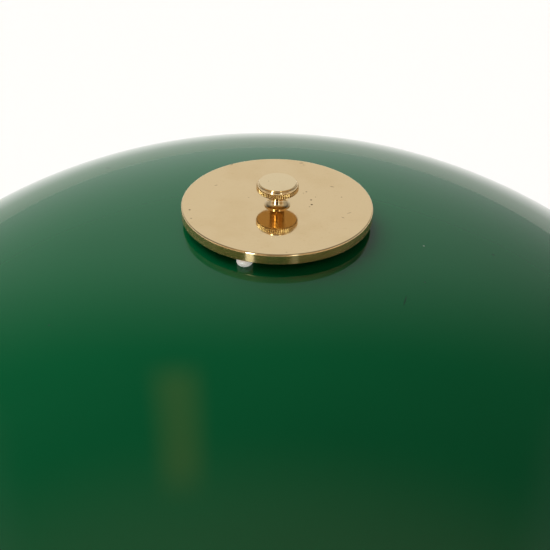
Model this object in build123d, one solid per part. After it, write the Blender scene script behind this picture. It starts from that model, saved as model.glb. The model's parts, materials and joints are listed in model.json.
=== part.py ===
from build123d import *

import math
import os

# Banker desk lamp: domed glass shade, flat brass cap with a knurled finial, twin sockets, round weighted base.
# Millimetres, +Z up, origin on the table under the middle of the base.
# The sockets lie along X and the cord inlet faces +Y.

# Shared clearances
THREAD_CLEARANCE = 0.05
SLIP_CLEARANCE = 0.15
LOOSE_CLEARANCE = 0.5

# Cap disc and its bumpers
CAP_DIAMETER = 70.0
CAP_THICKNESS = 4.0
CAP_EDGE_RADIUS = 0.6
CAP_HEEL_RADIUS = 0.3
BUMPER_DIAMETER = 4.4
BUMPER_INSET = 0.3
BUMPER_COUNT = 3
BUMPER_AZIMUTH = 250.4

# Finial and its stud
FINIAL_HEAD_DIAMETER = 15.3
FINIAL_FACE_DIAMETER = 13.6
FINIAL_HEIGHT = 9.3
FINIAL_FACE_STEP = 0.4
FINIAL_SHOULDER_DROP = 0.6
FINIAL_UNDERCUT = 0.4
FINIAL_NECK_DIAMETER = 5.4
FINIAL_NECK_HEIGHT = 3.5
FINIAL_FOOT_DIAMETER = 9.5
FINIAL_FOOT_LIP = 0.6
FINIAL_BORE_DEPTH = 2.6
KNURL_HEIGHT = 1.9
KNURL_PITCH = 0.72
KNURL_DEPTH = 0.28
STUD_DIAMETER = 4.0
STUD_PITCH = 0.7
STUD_TURNS = 8

# Shade
SHADE_DIAMETER = 356.0
SHADE_LAND_DIAMETER = 54.0
SHADE_CROWN_RADIUS = 226.5
SHADE_CROWN_OFFSET = 12.0
SHADE_SHOULDER_RADIUS = 45.0
SHADE_SKIRT = 8.0
GLASS_THICKNESS = 4.0
SHADE_HOLE_DIAMETER = 34.4

# Shade seat, gaskets and riser
SEAT_DIAMETER = 60.0
SEAT_THICKNESS = 3.0
SEAT_BEVEL = 2.0
SEAT_PILOT_HEIGHT = 4.0
GASKET_WIDTH = 8.0
GASKET_INSET = 1.0
LOWER_GASKET_THICKNESS = 1.6
UPPER_GASKET_THICKNESS = 2.1
STEM_TOP_GAP = 2.0
STEM_TAIL = 8.0
STEM_BORE_RELIEF = 1.0

# Threaded pipe and its nuts
PIPE_DIAMETER = 10.2
PIPE_BORE = 7.0
PIPE_TAIL = 2.0
NUT_FLATS = 16.0
NUT_HEIGHT = 5.0
THIN_NUT_HEIGHT = 4.0
WASHER_DIAMETER = 28.0
WASHER_THICKNESS = 1.6

# Base
FELT_THICKNESS = 2.0
FELT_INSET = 1.0
BASE_DIAMETER = 210.0
BASE_EDGE_HEIGHT = 18.0
BASE_EDGE_RADIUS = 5.0
BASE_HEIGHT = 30.0
BASE_SHEET = 1.6
WEIGHT_HEIGHT = 13.0
WEIGHT_CHAMFER = 5.0
WEIGHT_BOSS_DIAMETER = 34.0
NUT_RECESS_DIAMETER = 36.0
NUT_RECESS_DEPTH = 10.0
CORD_SLOT_WIDTH = 15.0

# Cord bushing
BUSHING_BORE = 7.0
BUSHING_WALL = 1.3
BUSHING_FLANGE = 13.0
BUSHING_FLANGE_THICKNESS = 1.6
BUSHING_LIP = 0.7
BUSHING_LIP_LENGTH = 3.0
BUSHING_LEVEL = 8.0

# Column
FOOT_DIAMETER = 40.0
FOOT_NECK_DIAMETER = 27.0
FOOT_LIP = 3.0
FOOT_LAND = 1.0
FOOT_HEIGHT = 14.0
FOOT_FLOOR = 4.0
TUBE_DIAMETER = 22.0
TUBE_WALL = 1.5
TUBE_LENGTH = 304.0
COLUMN_CAP_DIAMETER = 27.0
COLUMN_CAP_BEAD = 5.0
COLUMN_CAP_HEIGHT = 10.0
COLUMN_CAP_TOP_DIAMETER = 20.0
COLUMN_CAP_SPIGOT = 6.0

# Socket cluster
CLUSTER_DIAMETER = 34.0
CLUSTER_WALL = 3.0
CLUSTER_FLOOR = 4.0
CLUSTER_HEIGHT = 34.0
CLUSTER_ROUND = 3.0
CLUSTER_BOSS_DIAMETER = 17.0
CLUSTER_BOSS_REACH = 20.0
COVER_SPIGOT = 3.0
COVER_RIM = 2.0
COVER_HEIGHT = 7.0
COVER_BOSS_DIAMETER = 17.0

# Sockets, measured out along each socket's axis
NIPPLE_START = 8.0
NIPPLE_GRIP = 7.0
SOCKET_DIAMETER = 33.6
SOCKET_SHEET = 0.8
SOCKET_HUB_DIAMETER = 15.0
SOCKET_HUB_LENGTH = 9.0
SOCKET_DOME_LENGTH = 12.0
SOCKET_LIP_LENGTH = 6.0
SHELL_LENGTH = 38.0
SHELL_ENTRY = 5.0
SHELL_BEAD_RADIUS = 1.0
SHELL_BEAD_OFFSET = 20.0
LINER_THICKNESS = 0.7
LINER_SETBACK = 1.5
CORE_FRONT_LENGTH = 12.0
CORE_BACK_LENGTH = 10.0
CORE_BACK_DIAMETER = 22.0
CORE_SETBACK = 8.0
CORE_WELL_FLOOR = 4.0
SCREW_SHELL_THICKNESS = 0.5
SCREW_SHELL_LENGTH = 21.0
CONTACT_DIAMETER = 7.0
CONTACT_THICKNESS = 1.2

# Bulbs
BULB_BASE_DIAMETER = 26.0
BULB_BASE_LENGTH = 25.0
BULB_BASE_CONE = 4.0
BULB_TIP_DIAMETER = 9.0
BULB_DIAMETER = 48.0
BULB_NECK_DIAMETER = 24.0
BULB_NECK_LENGTH = 4.0
BULB_LENGTH = 64.0
BULB_GLASS = 1.0

# Pull switches, measured down from a socket's axis
GUIDE_BORE = 4.4
GUIDE_WALL = 0.7
GUIDE_FLANGE_DIAMETER = 9.0
GUIDE_FLANGE_THICKNESS = 1.2
GUIDE_REACH = 8.0
GUIDE_MOUTH = 1.3
GUIDE_MOUTH_LENGTH = 2.0
BEAD_DIAMETER = 3.2
BEAD_BAND = 1.2
BEAD_END_DIAMETER = 1.6
BEAD_PITCH = 4.2
BEAD_COUNT = 20
BEAD_START = 9.5
BEAD_SIDES = 8
LINK_DIAMETER = 1.0
PULL_BALL_DIAMETER = 12.0
PULL_NECK_DIAMETER = 5.0
PULL_NECK_LENGTH = 4.0

# Drop from the crown of the shade to the sockets' axis
SOCKET_DROP = 72.0

# Levels worked out from the table up
BASE_FLOOR = FELT_THICKNESS
BASE_TOP = BASE_FLOOR + BASE_HEIGHT
NUT_CEILING = BASE_FLOOR + NUT_RECESS_DEPTH
BUSHING_HEIGHT = BASE_FLOOR + BUSHING_LEVEL
TUBE_FLOOR = BASE_TOP + FOOT_FLOOR
TUBE_TOP = TUBE_FLOOR + TUBE_LENGTH
CLUSTER_BASE = TUBE_TOP + COLUMN_CAP_HEIGHT
CLUSTER_TOP = CLUSTER_BASE + CLUSTER_HEIGHT
SOCKET_AXIS = CLUSTER_BASE + CLUSTER_HEIGHT / 2
CROWN = SOCKET_AXIS + SOCKET_DROP
CAP_TOP = CROWN + CAP_THICKNESS
LAND_LEVEL = CROWN - UPPER_GASKET_THICKNESS
GLASS_FLOOR = LAND_LEVEL - GLASS_THICKNESS
STEM_TOP = CROWN - STEM_TOP_GAP
STUD_FLOOR = STEM_TOP - STUD_TURNS * STUD_PITCH

# Radii that several pieces share
PIPE_RADIUS = PIPE_DIAMETER / 2
PIPE_HOLE = PIPE_RADIUS + SLIP_CLEARANCE
PIPE_THREAD = PIPE_RADIUS + THREAD_CLEARANCE
STUD_HOLE = STUD_DIAMETER / 2 + SLIP_CLEARANCE
STUD_THREAD = STUD_DIAMETER / 2 + THREAD_CLEARANCE
TUBE_BORE = TUBE_DIAMETER / 2 - TUBE_WALL
GLASS_HOLE = SHADE_HOLE_DIAMETER / 2
LAND = SHADE_LAND_DIAMETER / 2
SHOULDER_HUB = SHADE_DIAMETER / 2 - SHADE_SHOULDER_RADIUS
CROWN_LEVEL = LAND_LEVEL - math.sqrt(SHADE_CROWN_RADIUS**2 - (LAND - SHADE_CROWN_OFFSET) ** 2)
SHOULDER_RUN = SHOULDER_HUB - SHADE_CROWN_OFFSET
SHOULDER_SPREAD = SHADE_CROWN_RADIUS - SHADE_SHOULDER_RADIUS
SHOULDER_LEVEL = CROWN_LEVEL + math.sqrt(SHOULDER_SPREAD**2 - SHOULDER_RUN**2)
GASKET_INNER = GLASS_HOLE + GASKET_INSET
GASKET_OUTER = GASKET_INNER + GASKET_WIDTH
CLUSTER_HOLLOW = CLUSTER_DIAMETER / 2 - CLUSTER_WALL
BUSHING_RADIUS = BUSHING_BORE / 2 + BUSHING_WALL
SHELL_RADIUS = SOCKET_DIAMETER / 2 - SOCKET_SHEET - THREAD_CLEARANCE
LINER_RADIUS = SHELL_RADIUS - SOCKET_SHEET - SLIP_CLEARANCE
CORE_RADIUS = LINER_RADIUS - LINER_THICKNESS - SLIP_CLEARANCE
SCREW_SHELL_BORE = BULB_BASE_DIAMETER / 2 + SLIP_CLEARANCE
GUIDE_RADIUS = GUIDE_BORE / 2 + GUIDE_WALL
GUIDE_HOLE = GUIDE_RADIUS + SLIP_CLEARANCE

# Stations along a socket's axis, from the lamp's middle
HUB_END = CLUSTER_BOSS_REACH + SOCKET_HUB_LENGTH
DOME_END = HUB_END + SOCKET_DOME_LENGTH
CAP_MOUTH = DOME_END + SOCKET_LIP_LENGTH
SHELL_START = CAP_MOUTH - SHELL_ENTRY
SHELL_END = SHELL_START + SHELL_LENGTH
CORE_START = SHELL_START - CORE_SETBACK
CORE_STEP = CORE_START + CORE_BACK_LENGTH
CORE_END = CORE_STEP + CORE_FRONT_LENGTH
GUIDE_STATION = CAP_MOUTH + GUIDE_FLANGE_DIAMETER / 2 + LOOSE_CLEARANCE
BULB_TIP = CORE_END + CONTACT_THICKNESS
BULB_SEAM = BULB_TIP + BULB_BASE_LENGTH

# The pull chain's last point, below a socket's axis
CHAIN_START = BEAD_START - BEAD_DIAMETER / 2
CHAIN_END = BEAD_START + (BEAD_COUNT - 1) * BEAD_PITCH + BEAD_DIAMETER / 2


def turned(*edges):
    """A closed profile of radius and height, turned about the vertical axis."""
    return revolve(Plane.XZ * make_face(edges), Axis.Z)


def ring(outer, inner, low, high):
    """A plain ring between two radii and two levels."""
    return Pos(0, 0, low) * extrude(Circle(outer) - Circle(inner), high - low)


def post(radius, low, high):
    """A plain cylinder between two levels."""
    return Pos(0, 0, low) * extrude(Circle(radius), high - low)


def hex_nut(low, height):
    """A hexagon nut for the threaded pipe."""
    blank = extrude(RegularPolygon(NUT_FLATS / 2, 6, major_radius=False), height)
    return Pos(0, 0, low) * blank - post(PIPE_THREAD, low, low + height)


# Base

def base_outline(inset):
    """The solid inside the base's outline, moved inwards by a sheet or a gap."""
    slope = math.atan2(BASE_HEIGHT - BASE_EDGE_HEIGHT, (BASE_DIAMETER - FOOT_DIAMETER) / 2)
    edge = BASE_DIAMETER / 2 - inset
    knee = FOOT_DIAMETER / 2 - inset * math.tan(slope / 2)
    top = BASE_TOP - inset
    corner = top - (edge - knee) * math.tan(slope)
    points = [(0, BASE_FLOOR), (edge, BASE_FLOOR), (edge, corner), (knee, top), (0, top)]
    profile = make_face(Polyline(*points, close=True))
    rounded = fillet(profile.vertices().sort_by_distance((edge, corner))[0], BASE_EDGE_RADIUS - inset)
    return revolve(Plane.XZ * rounded, Axis.Z)


def bushing_frame():
    """The cord inlet's frame: out through the back of the base along +Y."""
    return Plane((0, 0, BUSHING_HEIGHT), x_dir=(1, 0, 0), z_dir=(0, 1, 0))


def felt_pad():
    """The felt disc under the base."""
    return post(BASE_DIAMETER / 2 - FELT_INSET, 0, FELT_THICKNESS)


def base_shell():
    """The spun cover of the base, open below, with holes for the pipe and the cord bushing."""
    inlet = bushing_frame() * post(BUSHING_RADIUS + SLIP_CLEARANCE, BASE_DIAMETER / 4, BASE_DIAMETER / 2)
    return base_outline(0) - base_outline(BASE_SHEET) - post(PIPE_HOLE, BASE_FLOOR, BASE_TOP) - inlet


def base_weight():
    """The cast weight with a clamping boss, a nut recess and a slot for the cord."""
    reach = BASE_DIAMETER / 2 - BASE_SHEET - LOOSE_CLEARANCE
    slab = post(reach, BASE_FLOOR, BASE_FLOOR + WEIGHT_HEIGHT)
    slab = chamfer(slab.edges().group_by(Axis.Z)[-1], WEIGHT_CHAMFER)
    boss = post(WEIGHT_BOSS_DIAMETER / 2, BASE_FLOOR, BASE_TOP - BASE_SHEET)
    recess = post(NUT_RECESS_DIAMETER / 2, BASE_FLOOR, NUT_CEILING)
    bore = post(PIPE_HOLE, BASE_FLOOR, BASE_TOP)
    slot_start = WEIGHT_BOSS_DIAMETER / 2
    slot = Pos(0, (slot_start + reach) / 2, BASE_FLOOR + WEIGHT_HEIGHT / 2)
    slot = slot * Box(CORD_SLOT_WIDTH, reach - slot_start, WEIGHT_HEIGHT)
    return slab + boss - recess - bore - slot


def base_washer():
    """The washer between the weight and the nut under it."""
    return ring(WASHER_DIAMETER / 2, PIPE_HOLE, NUT_CEILING - WASHER_THICKNESS, NUT_CEILING)


def base_nut():
    """The nut that clamps the whole stack from below."""
    return hex_nut(NUT_CEILING - WASHER_THICKNESS - NUT_HEIGHT, NUT_HEIGHT)


def cord_bushing():
    """The snap-in bushing of the cord inlet."""
    lip_radius = BUSHING_RADIUS + BUSHING_LIP
    outside = BASE_DIAMETER / 2
    inside = math.sqrt((outside - BASE_SHEET) ** 2 - lip_radius**2)
    flange = ring(BUSHING_FLANGE / 2, BUSHING_BORE / 2, outside, outside + BUSHING_FLANGE_THICKNESS)
    flange = fillet(flange.edges().group_by(Axis.Z)[-1].sort_by(SortBy.RADIUS)[-1], BUSHING_FLANGE_THICKNESS / 2)
    barrel = ring(BUSHING_RADIUS, BUSHING_BORE / 2, inside, outside)
    lip = turned(
        Polyline(
            (BUSHING_BORE / 2, inside),
            (lip_radius, inside),
            (BUSHING_RADIUS - BUSHING_LIP, inside - BUSHING_LIP_LENGTH),
            (BUSHING_BORE / 2, inside - BUSHING_LIP_LENGTH),
            close=True,
        )
    )
    return bushing_frame() * (flange + barrel + lip)


# Column

def threaded_pipe():
    """The pipe that ties base, column and cluster together."""
    low = NUT_CEILING - WASHER_THICKNESS - NUT_HEIGHT - PIPE_TAIL
    high = CLUSTER_BASE + CLUSTER_FLOOR + THIN_NUT_HEIGHT + PIPE_TAIL
    return ring(PIPE_RADIUS, PIPE_BORE / 2, low, high)


def column_foot():
    """The coved foot that holds the tube's lower end."""
    top = BASE_TOP + FOOT_HEIGHT
    lip = (FOOT_DIAMETER / 2 - FOOT_LAND, BASE_TOP + FOOT_LIP)
    neck = (FOOT_NECK_DIAMETER / 2, top)
    pocket = TUBE_DIAMETER / 2 + SLIP_CLEARANCE
    return turned(
        Polyline((PIPE_HOLE, BASE_TOP), (FOOT_DIAMETER / 2, BASE_TOP), (FOOT_DIAMETER / 2, lip[1]), lip),
        TangentArc(neck, lip, tangent=(0, -1)),
        Polyline(neck, (pocket, top), (pocket, TUBE_FLOOR), (PIPE_HOLE, TUBE_FLOOR), (PIPE_HOLE, BASE_TOP)),
    )


def column_tube():
    """The plain brass tube of the column."""
    return ring(TUBE_DIAMETER / 2, TUBE_BORE, TUBE_FLOOR, TUBE_TOP)


def column_cap():
    """The beaded cap with a spigot in the tube's upper end."""
    spigot = TUBE_BORE - SLIP_CLEARANCE
    tube = TUBE_DIAMETER / 2
    bead_top = TUBE_TOP + COLUMN_CAP_BEAD
    neck = COLUMN_CAP_TOP_DIAMETER / 2
    low = TUBE_TOP - COLUMN_CAP_SPIGOT
    return turned(
        Polyline((PIPE_HOLE, low), (spigot, low), (spigot, TUBE_TOP), (tube, TUBE_TOP)),
        ThreePointArc((tube, TUBE_TOP), (COLUMN_CAP_DIAMETER / 2, (TUBE_TOP + bead_top) / 2), (tube, bead_top)),
        Polyline(
            (tube, bead_top), (neck, bead_top), (neck, CLUSTER_BASE), (PIPE_HOLE, CLUSTER_BASE), (PIPE_HOLE, low)
        ),
    )


# Socket cluster

def socket_frame(side):
    """A socket's frame: its Z runs out along the socket and its X points down."""
    return Plane((0, 0, SOCKET_AXIS), x_dir=(0, 0, -1), z_dir=(side, 0, 0))


def chain_frame(side):
    """A pull chain's frame: its Z runs down from the socket's axis."""
    return Plane((side * GUIDE_STATION, 0, SOCKET_AXIS), x_dir=(1, 0, 0), z_dir=(0, 0, -1))


def cluster_body():
    """The hollow hub with a threaded boss on each side."""
    outside = CLUSTER_DIAMETER / 2
    floor = CLUSTER_BASE + CLUSTER_FLOOR
    cup = turned(
        Line((PIPE_HOLE, CLUSTER_BASE), (outside - CLUSTER_ROUND, CLUSTER_BASE)),
        CenterArc((outside - CLUSTER_ROUND, CLUSTER_BASE + CLUSTER_ROUND), CLUSTER_ROUND, -90, 90),
        Polyline((outside, CLUSTER_BASE + CLUSTER_ROUND), (outside, CLUSTER_TOP), (CLUSTER_HOLLOW, CLUSTER_TOP)),
        Polyline((CLUSTER_HOLLOW, CLUSTER_TOP), (CLUSTER_HOLLOW, floor), (PIPE_HOLE, floor), (PIPE_HOLE, CLUSTER_BASE)),
    )
    for side in (-1, 1):
        boss = socket_frame(side) * post(CLUSTER_BOSS_DIAMETER / 2, 0, CLUSTER_BOSS_REACH)
        cup += boss - post(CLUSTER_HOLLOW, floor, CLUSTER_TOP)
    for side in (-1, 1):
        cup -= socket_frame(side) * post(PIPE_THREAD, 0, CLUSTER_BOSS_REACH)
    return cup


def cluster_cover():
    """The domed cover on the hub, which carries the riser stem."""
    spigot = CLUSTER_HOLLOW - SLIP_CLEARANCE
    low = CLUSTER_TOP - COVER_SPIGOT
    rim = (CLUSTER_DIAMETER / 2, CLUSTER_TOP + COVER_RIM)
    boss = (COVER_BOSS_DIAMETER / 2, CLUSTER_TOP + COVER_HEIGHT)
    return turned(
        Polyline((PIPE_THREAD, low), (spigot, low), (spigot, CLUSTER_TOP), (rim[0], CLUSTER_TOP), rim),
        TangentArc(boss, rim, tangent=(1, 0)),
        Polyline(boss, (PIPE_THREAD, boss[1]), (PIPE_THREAD, low)),
    )


def pipe_nut():
    """The nut on the pipe's upper end, inside the hub."""
    return hex_nut(CLUSTER_BASE + CLUSTER_FLOOR, THIN_NUT_HEIGHT)


def stem_nut():
    """The nut on the riser's lower end, under the cover."""
    return hex_nut(CLUSTER_TOP - COVER_SPIGOT - THIN_NUT_HEIGHT, THIN_NUT_HEIGHT)


def socket_nipple(side):
    """The short threaded tube between the hub and a socket."""
    tube = ring(PIPE_RADIUS, PIPE_BORE / 2, NIPPLE_START, CLUSTER_BOSS_REACH + NIPPLE_GRIP)
    return socket_frame(side) * tube


def socket_cap(side):
    """A socket's domed cap with its threaded hub."""
    outside = SOCKET_DIAMETER / 2
    hub = SOCKET_HUB_DIAMETER / 2
    inside = outside - SOCKET_SHEET
    floor = HUB_END + SOCKET_SHEET
    cap = turned(
        Polyline((PIPE_THREAD, CLUSTER_BOSS_REACH), (hub, CLUSTER_BOSS_REACH), (hub, HUB_END)),
        TangentArc((outside, DOME_END), (hub, HUB_END), tangent=(0, -1)),
        Polyline((outside, DOME_END), (outside, CAP_MOUTH), (inside, CAP_MOUTH), (inside, DOME_END)),
        TangentArc((inside, DOME_END), (hub, floor), tangent=(0, -1)),
        Polyline((hub, floor), (PIPE_THREAD, floor), (PIPE_THREAD, CLUSTER_BOSS_REACH)),
    )
    return socket_frame(side) * cap


def guide_hole(side):
    """The hole through a socket's wall for its chain guide."""
    return chain_frame(side) * post(GUIDE_HOLE, 0, SOCKET_DIAMETER)


def socket_shell(side):
    """A socket's outer shell with one rolled bead and a rounded mouth."""
    inside = SHELL_RADIUS - SOCKET_SHEET
    bead = SHELL_START + SHELL_BEAD_OFFSET
    mouth = SHELL_END - SOCKET_SHEET / 2
    shell = turned(
        Line((SHELL_RADIUS, SHELL_START), (SHELL_RADIUS, bead - SHELL_BEAD_RADIUS)),
        CenterArc((SHELL_RADIUS, bead), SHELL_BEAD_RADIUS, -90, 180),
        Line((SHELL_RADIUS, bead + SHELL_BEAD_RADIUS), (SHELL_RADIUS, mouth)),
        CenterArc((SHELL_RADIUS - SOCKET_SHEET / 2, mouth), SOCKET_SHEET / 2, 0, 180),
        Polyline((inside, mouth), (inside, SHELL_START), (SHELL_RADIUS, SHELL_START)),
    )
    return socket_frame(side) * shell - guide_hole(side)


def socket_liner(side):
    """The insulating sleeve inside a socket's shell."""
    inside = LINER_RADIUS - LINER_THICKNESS
    liner = ring(LINER_RADIUS, inside, SHELL_START, SHELL_END - LINER_SETBACK)
    return socket_frame(side) * liner - guide_hole(side)


def socket_core(side):
    """The moulded switch body, stepped at the back, with a well for the pull chain."""
    core = post(CORE_RADIUS, CORE_STEP, CORE_END) + post(CORE_BACK_DIAMETER / 2, CORE_START, CORE_STEP)
    well = chain_frame(side) * post(GUIDE_BORE / 2, CORE_WELL_FLOOR, SOCKET_DIAMETER)
    return socket_frame(side) * core - well


def screw_shell(side):
    """The contact shell that the bulb screws into."""
    outside = SCREW_SHELL_BORE + SCREW_SHELL_THICKNESS
    return socket_frame(side) * ring(outside, SCREW_SHELL_BORE, CORE_END, CORE_END + SCREW_SHELL_LENGTH)


def centre_contact(side):
    """The contact at the bottom of a socket."""
    return socket_frame(side) * post(CONTACT_DIAMETER / 2, CORE_END, BULB_TIP)


# Bulbs

def bulb_base(side):
    """A bulb's screw base with a coned end."""
    outside = BULB_BASE_DIAMETER / 2
    tip = BULB_TIP_DIAMETER / 2
    profile = Polyline(
        (0, BULB_TIP), (tip, BULB_TIP), (outside, BULB_TIP + BULB_BASE_CONE), (outside, BULB_SEAM), (0, BULB_SEAM),
        close=True,
    )
    return socket_frame(side) * turned(profile)


def bulb_glass(side):
    """A bulb's hollow envelope: a straight neck, a swelling side and a round end."""
    neck = BULB_SEAM + BULB_NECK_LENGTH
    centre = BULB_SEAM + BULB_LENGTH - BULB_DIAMETER / 2
    outside = BULB_DIAMETER / 2
    throat = BULB_NECK_DIAMETER / 2
    inside = outside - BULB_GLASS
    bore = throat - BULB_GLASS
    glass = turned(
        Line((throat, BULB_SEAM), (throat, neck)),
        Spline((throat, neck), (outside, centre), tangents=[(0, 1), (0, 1)]),
        CenterArc((0, centre), outside, 0, 90),
        Line((0, centre + outside), (0, centre + inside)),
        CenterArc((0, centre), inside, 0, 90),
        Spline((bore, neck), (inside, centre), tangents=[(0, 1), (0, 1)]),
        Polyline((bore, neck), (bore, BULB_SEAM), (throat, BULB_SEAM)),
    )
    return socket_frame(side) * glass


# Pull switches

def chain_guide(side):
    """The flanged guide with a belled mouth where the chain leaves a socket."""
    bore = GUIDE_BORE / 2
    flange = GUIDE_FLANGE_DIAMETER / 2
    flange_low = SHELL_RADIUS + GUIDE_FLANGE_THICKNESS
    end = SHELL_RADIUS + GUIDE_REACH
    bell = end - GUIDE_MOUTH_LENGTH
    guide = turned(
        Polyline(
            (bore, CORE_RADIUS), (GUIDE_RADIUS, CORE_RADIUS), (GUIDE_RADIUS, SHELL_RADIUS), (flange, SHELL_RADIUS),
            (flange, flange_low), (GUIDE_RADIUS, flange_low), (GUIDE_RADIUS, bell),
        ),
        TangentArc((GUIDE_RADIUS, bell), (GUIDE_RADIUS + GUIDE_MOUTH, end), tangent=(0, 1)),
        Line((GUIDE_RADIUS + GUIDE_MOUTH, end), (bore + GUIDE_MOUTH, end)),
        TangentArc((bore, bell), (bore + GUIDE_MOUTH, end), tangent=(0, 1)),
        Line((bore, bell), (bore, CORE_RADIUS)),
    )
    return chain_frame(side) * guide


def chain_bead():
    """One bead: an eight-sided band with coned ends, centred on its own middle."""
    half = BEAD_DIAMETER / 2
    band = BEAD_BAND / 2
    levels = [(-half, BEAD_END_DIAMETER), (-band, BEAD_DIAMETER), (band, BEAD_DIAMETER), (half, BEAD_END_DIAMETER)]
    return loft([Pos(0, 0, level) * RegularPolygon(width / 2, BEAD_SIDES) for level, width in levels], ruled=True)


def pull_chain(side):
    """A straight hanging bead chain with its links."""
    links = Pos(0, 0, CHAIN_START) * extrude(RegularPolygon(LINK_DIAMETER / 2, BEAD_SIDES), CHAIN_END - CHAIN_START)
    beads = [Pos(0, 0, BEAD_START + step * BEAD_PITCH) * chain_bead() for step in range(BEAD_COUNT)]
    return chain_frame(side) * (links + beads)


def pull_ball(side):
    """The ball at a chain's end, with the neck that grips the last bead."""
    radius = PULL_BALL_DIAMETER / 2
    neck = PULL_NECK_DIAMETER / 2
    centre = CHAIN_END + PULL_NECK_LENGTH + math.sqrt(radius**2 - neck**2)
    start = math.degrees(math.asin((CHAIN_END + PULL_NECK_LENGTH - centre) / radius))
    pull = turned(
        Polyline((0, centre + radius), (0, CHAIN_END), (neck, CHAIN_END), (neck, CHAIN_END + PULL_NECK_LENGTH)),
        CenterArc((0, centre), radius, start, 90 - start),
    )
    return chain_frame(side) * pull


# Shade and its seat

def shade():
    """The glass dome: a flat land for the clamp, a wide crown, a tight shoulder, a short skirt and a rounded rim."""
    edge = SHADE_DIAMETER / 2
    inside = edge - GLASS_THICKNESS
    lip = GLASS_THICKNESS / 2
    rim = SHOULDER_LEVEL - SHADE_SKIRT + lip
    hub = (SHOULDER_HUB, SHOULDER_LEVEL)
    # The crown's arc runs from the land to the shoulder's arc, which it meets without a corner
    middle = (SHADE_CROWN_OFFSET, CROWN_LEVEL)
    inner = SHADE_CROWN_RADIUS - GLASS_THICKNESS
    turn = math.degrees(math.acos(SHOULDER_RUN / SHOULDER_SPREAD))
    start = math.degrees(math.asin((LAND_LEVEL - CROWN_LEVEL) / SHADE_CROWN_RADIUS))
    inner_start = math.degrees(math.asin((GLASS_FLOOR - CROWN_LEVEL) / inner))
    inner_land = SHADE_CROWN_OFFSET + inner * math.cos(math.radians(inner_start))
    return turned(
        Line((GLASS_HOLE, LAND_LEVEL), (LAND, LAND_LEVEL)),
        CenterArc(middle, SHADE_CROWN_RADIUS, turn, start - turn),
        CenterArc(hub, SHADE_SHOULDER_RADIUS, 0, turn),
        Line((edge, SHOULDER_LEVEL), (edge, rim)),
        CenterArc((edge - lip, rim), lip, 180, 180),
        Line((inside, rim), (inside, SHOULDER_LEVEL)),
        CenterArc(hub, SHADE_SHOULDER_RADIUS - GLASS_THICKNESS, 0, turn),
        CenterArc(middle, inner, turn, inner_start - turn),
        Polyline((inner_land, GLASS_FLOOR), (GLASS_HOLE, GLASS_FLOOR), (GLASS_HOLE, LAND_LEVEL)),
    )


def seat_level():
    """The level of the seat's flat face, under the lower gasket."""
    return GLASS_FLOOR - LOWER_GASKET_THICKNESS


def lower_gasket():
    """The gasket between the seat and the inside of the glass."""
    return ring(GASKET_OUTER, GASKET_INNER, seat_level(), GLASS_FLOOR)


def upper_gasket():
    """The gasket between the outside of the glass and the cap disc."""
    return ring(GASKET_OUTER, GASKET_INNER, LAND_LEVEL, CROWN)


def shade_seat():
    """The bevelled plate that carries the glass, with a pilot that centres its hole."""
    top = seat_level()
    low = top - SEAT_THICKNESS
    edge = SEAT_DIAMETER / 2
    pilot = GLASS_HOLE - LOOSE_CLEARANCE
    pilot_top = top + SEAT_PILOT_HEIGHT
    return turned(
        Polyline(
            (PIPE_HOLE, low), (edge - SEAT_BEVEL, low), (edge, low + SEAT_BEVEL), (edge, top), (pilot, top),
            (pilot, pilot_top), (PIPE_HOLE, pilot_top),
            close=True,
        )
    )


def seat_nut():
    """The nut that holds the seat up on the riser."""
    return hex_nut(seat_level() - SEAT_THICKNESS - NUT_HEIGHT, NUT_HEIGHT)


def riser_stem():
    """The threaded rod from the cover to the cap, tapped at the top for the finial's stud."""
    rod = post(PIPE_RADIUS, CLUSTER_TOP - COVER_SPIGOT - STEM_TAIL, STEM_TOP)
    return rod - post(STUD_THREAD, STUD_FLOOR - STEM_BORE_RELIEF, STEM_TOP)


# Cap disc and finial

def cap_bumpers():
    """The pads between the disc's edge and the glass, cut to the glass below."""
    glass = shade()
    reach = (CAP_DIAMETER - BUMPER_DIAMETER) / 2 - BUMPER_INSET
    pads = []
    for step in range(BUMPER_COUNT):
        spot = Rot(0, 0, BUMPER_AZIMUTH + step * 360 / BUMPER_COUNT) * Pos(reach, 0, 0)
        pads.append(spot * post(BUMPER_DIAMETER / 2, LAND_LEVEL - GLASS_THICKNESS / 2, CROWN) - glass)
    return Compound(children=pads)


def cap_disc():
    """The flat disc with a hole for the stud and a softened rim, rounder above than below."""
    edge = CAP_DIAMETER / 2
    shoulder = (edge - CAP_EDGE_RADIUS, CAP_TOP - CAP_EDGE_RADIUS)
    heel = (edge - CAP_HEEL_RADIUS, CROWN + CAP_HEEL_RADIUS)
    return turned(
        Polyline((shoulder[0], CAP_TOP), (STUD_HOLE, CAP_TOP), (STUD_HOLE, CROWN), (heel[0], CROWN)),
        CenterArc(heel, CAP_HEEL_RADIUS, -90, 90),
        Line((edge, heel[1]), (edge, shoulder[1])),
        CenterArc(shoulder, CAP_EDGE_RADIUS, 0, 90),
    )


def finial_stud():
    """The threaded stud that the finial turns on."""
    return post(STUD_DIAMETER / 2, STUD_FLOOR, CAP_TOP + FINIAL_BORE_DEPTH)


def knurl_blank():
    """A prism with straight V teeth all round, as tall as the finial."""
    tip = FINIAL_HEAD_DIAMETER / 2
    teeth = round(math.pi * FINIAL_HEAD_DIAMETER / KNURL_PITCH)
    points = []
    for step in range(2 * teeth):
        angle = math.pi * step / teeth
        reach = tip - KNURL_DEPTH * (step % 2)
        points.append((reach * math.cos(angle), reach * math.sin(angle)))
    return Pos(0, 0, CAP_TOP) * extrude(make_face(Polyline(*points, close=True)), FINIAL_HEIGHT)


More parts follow.
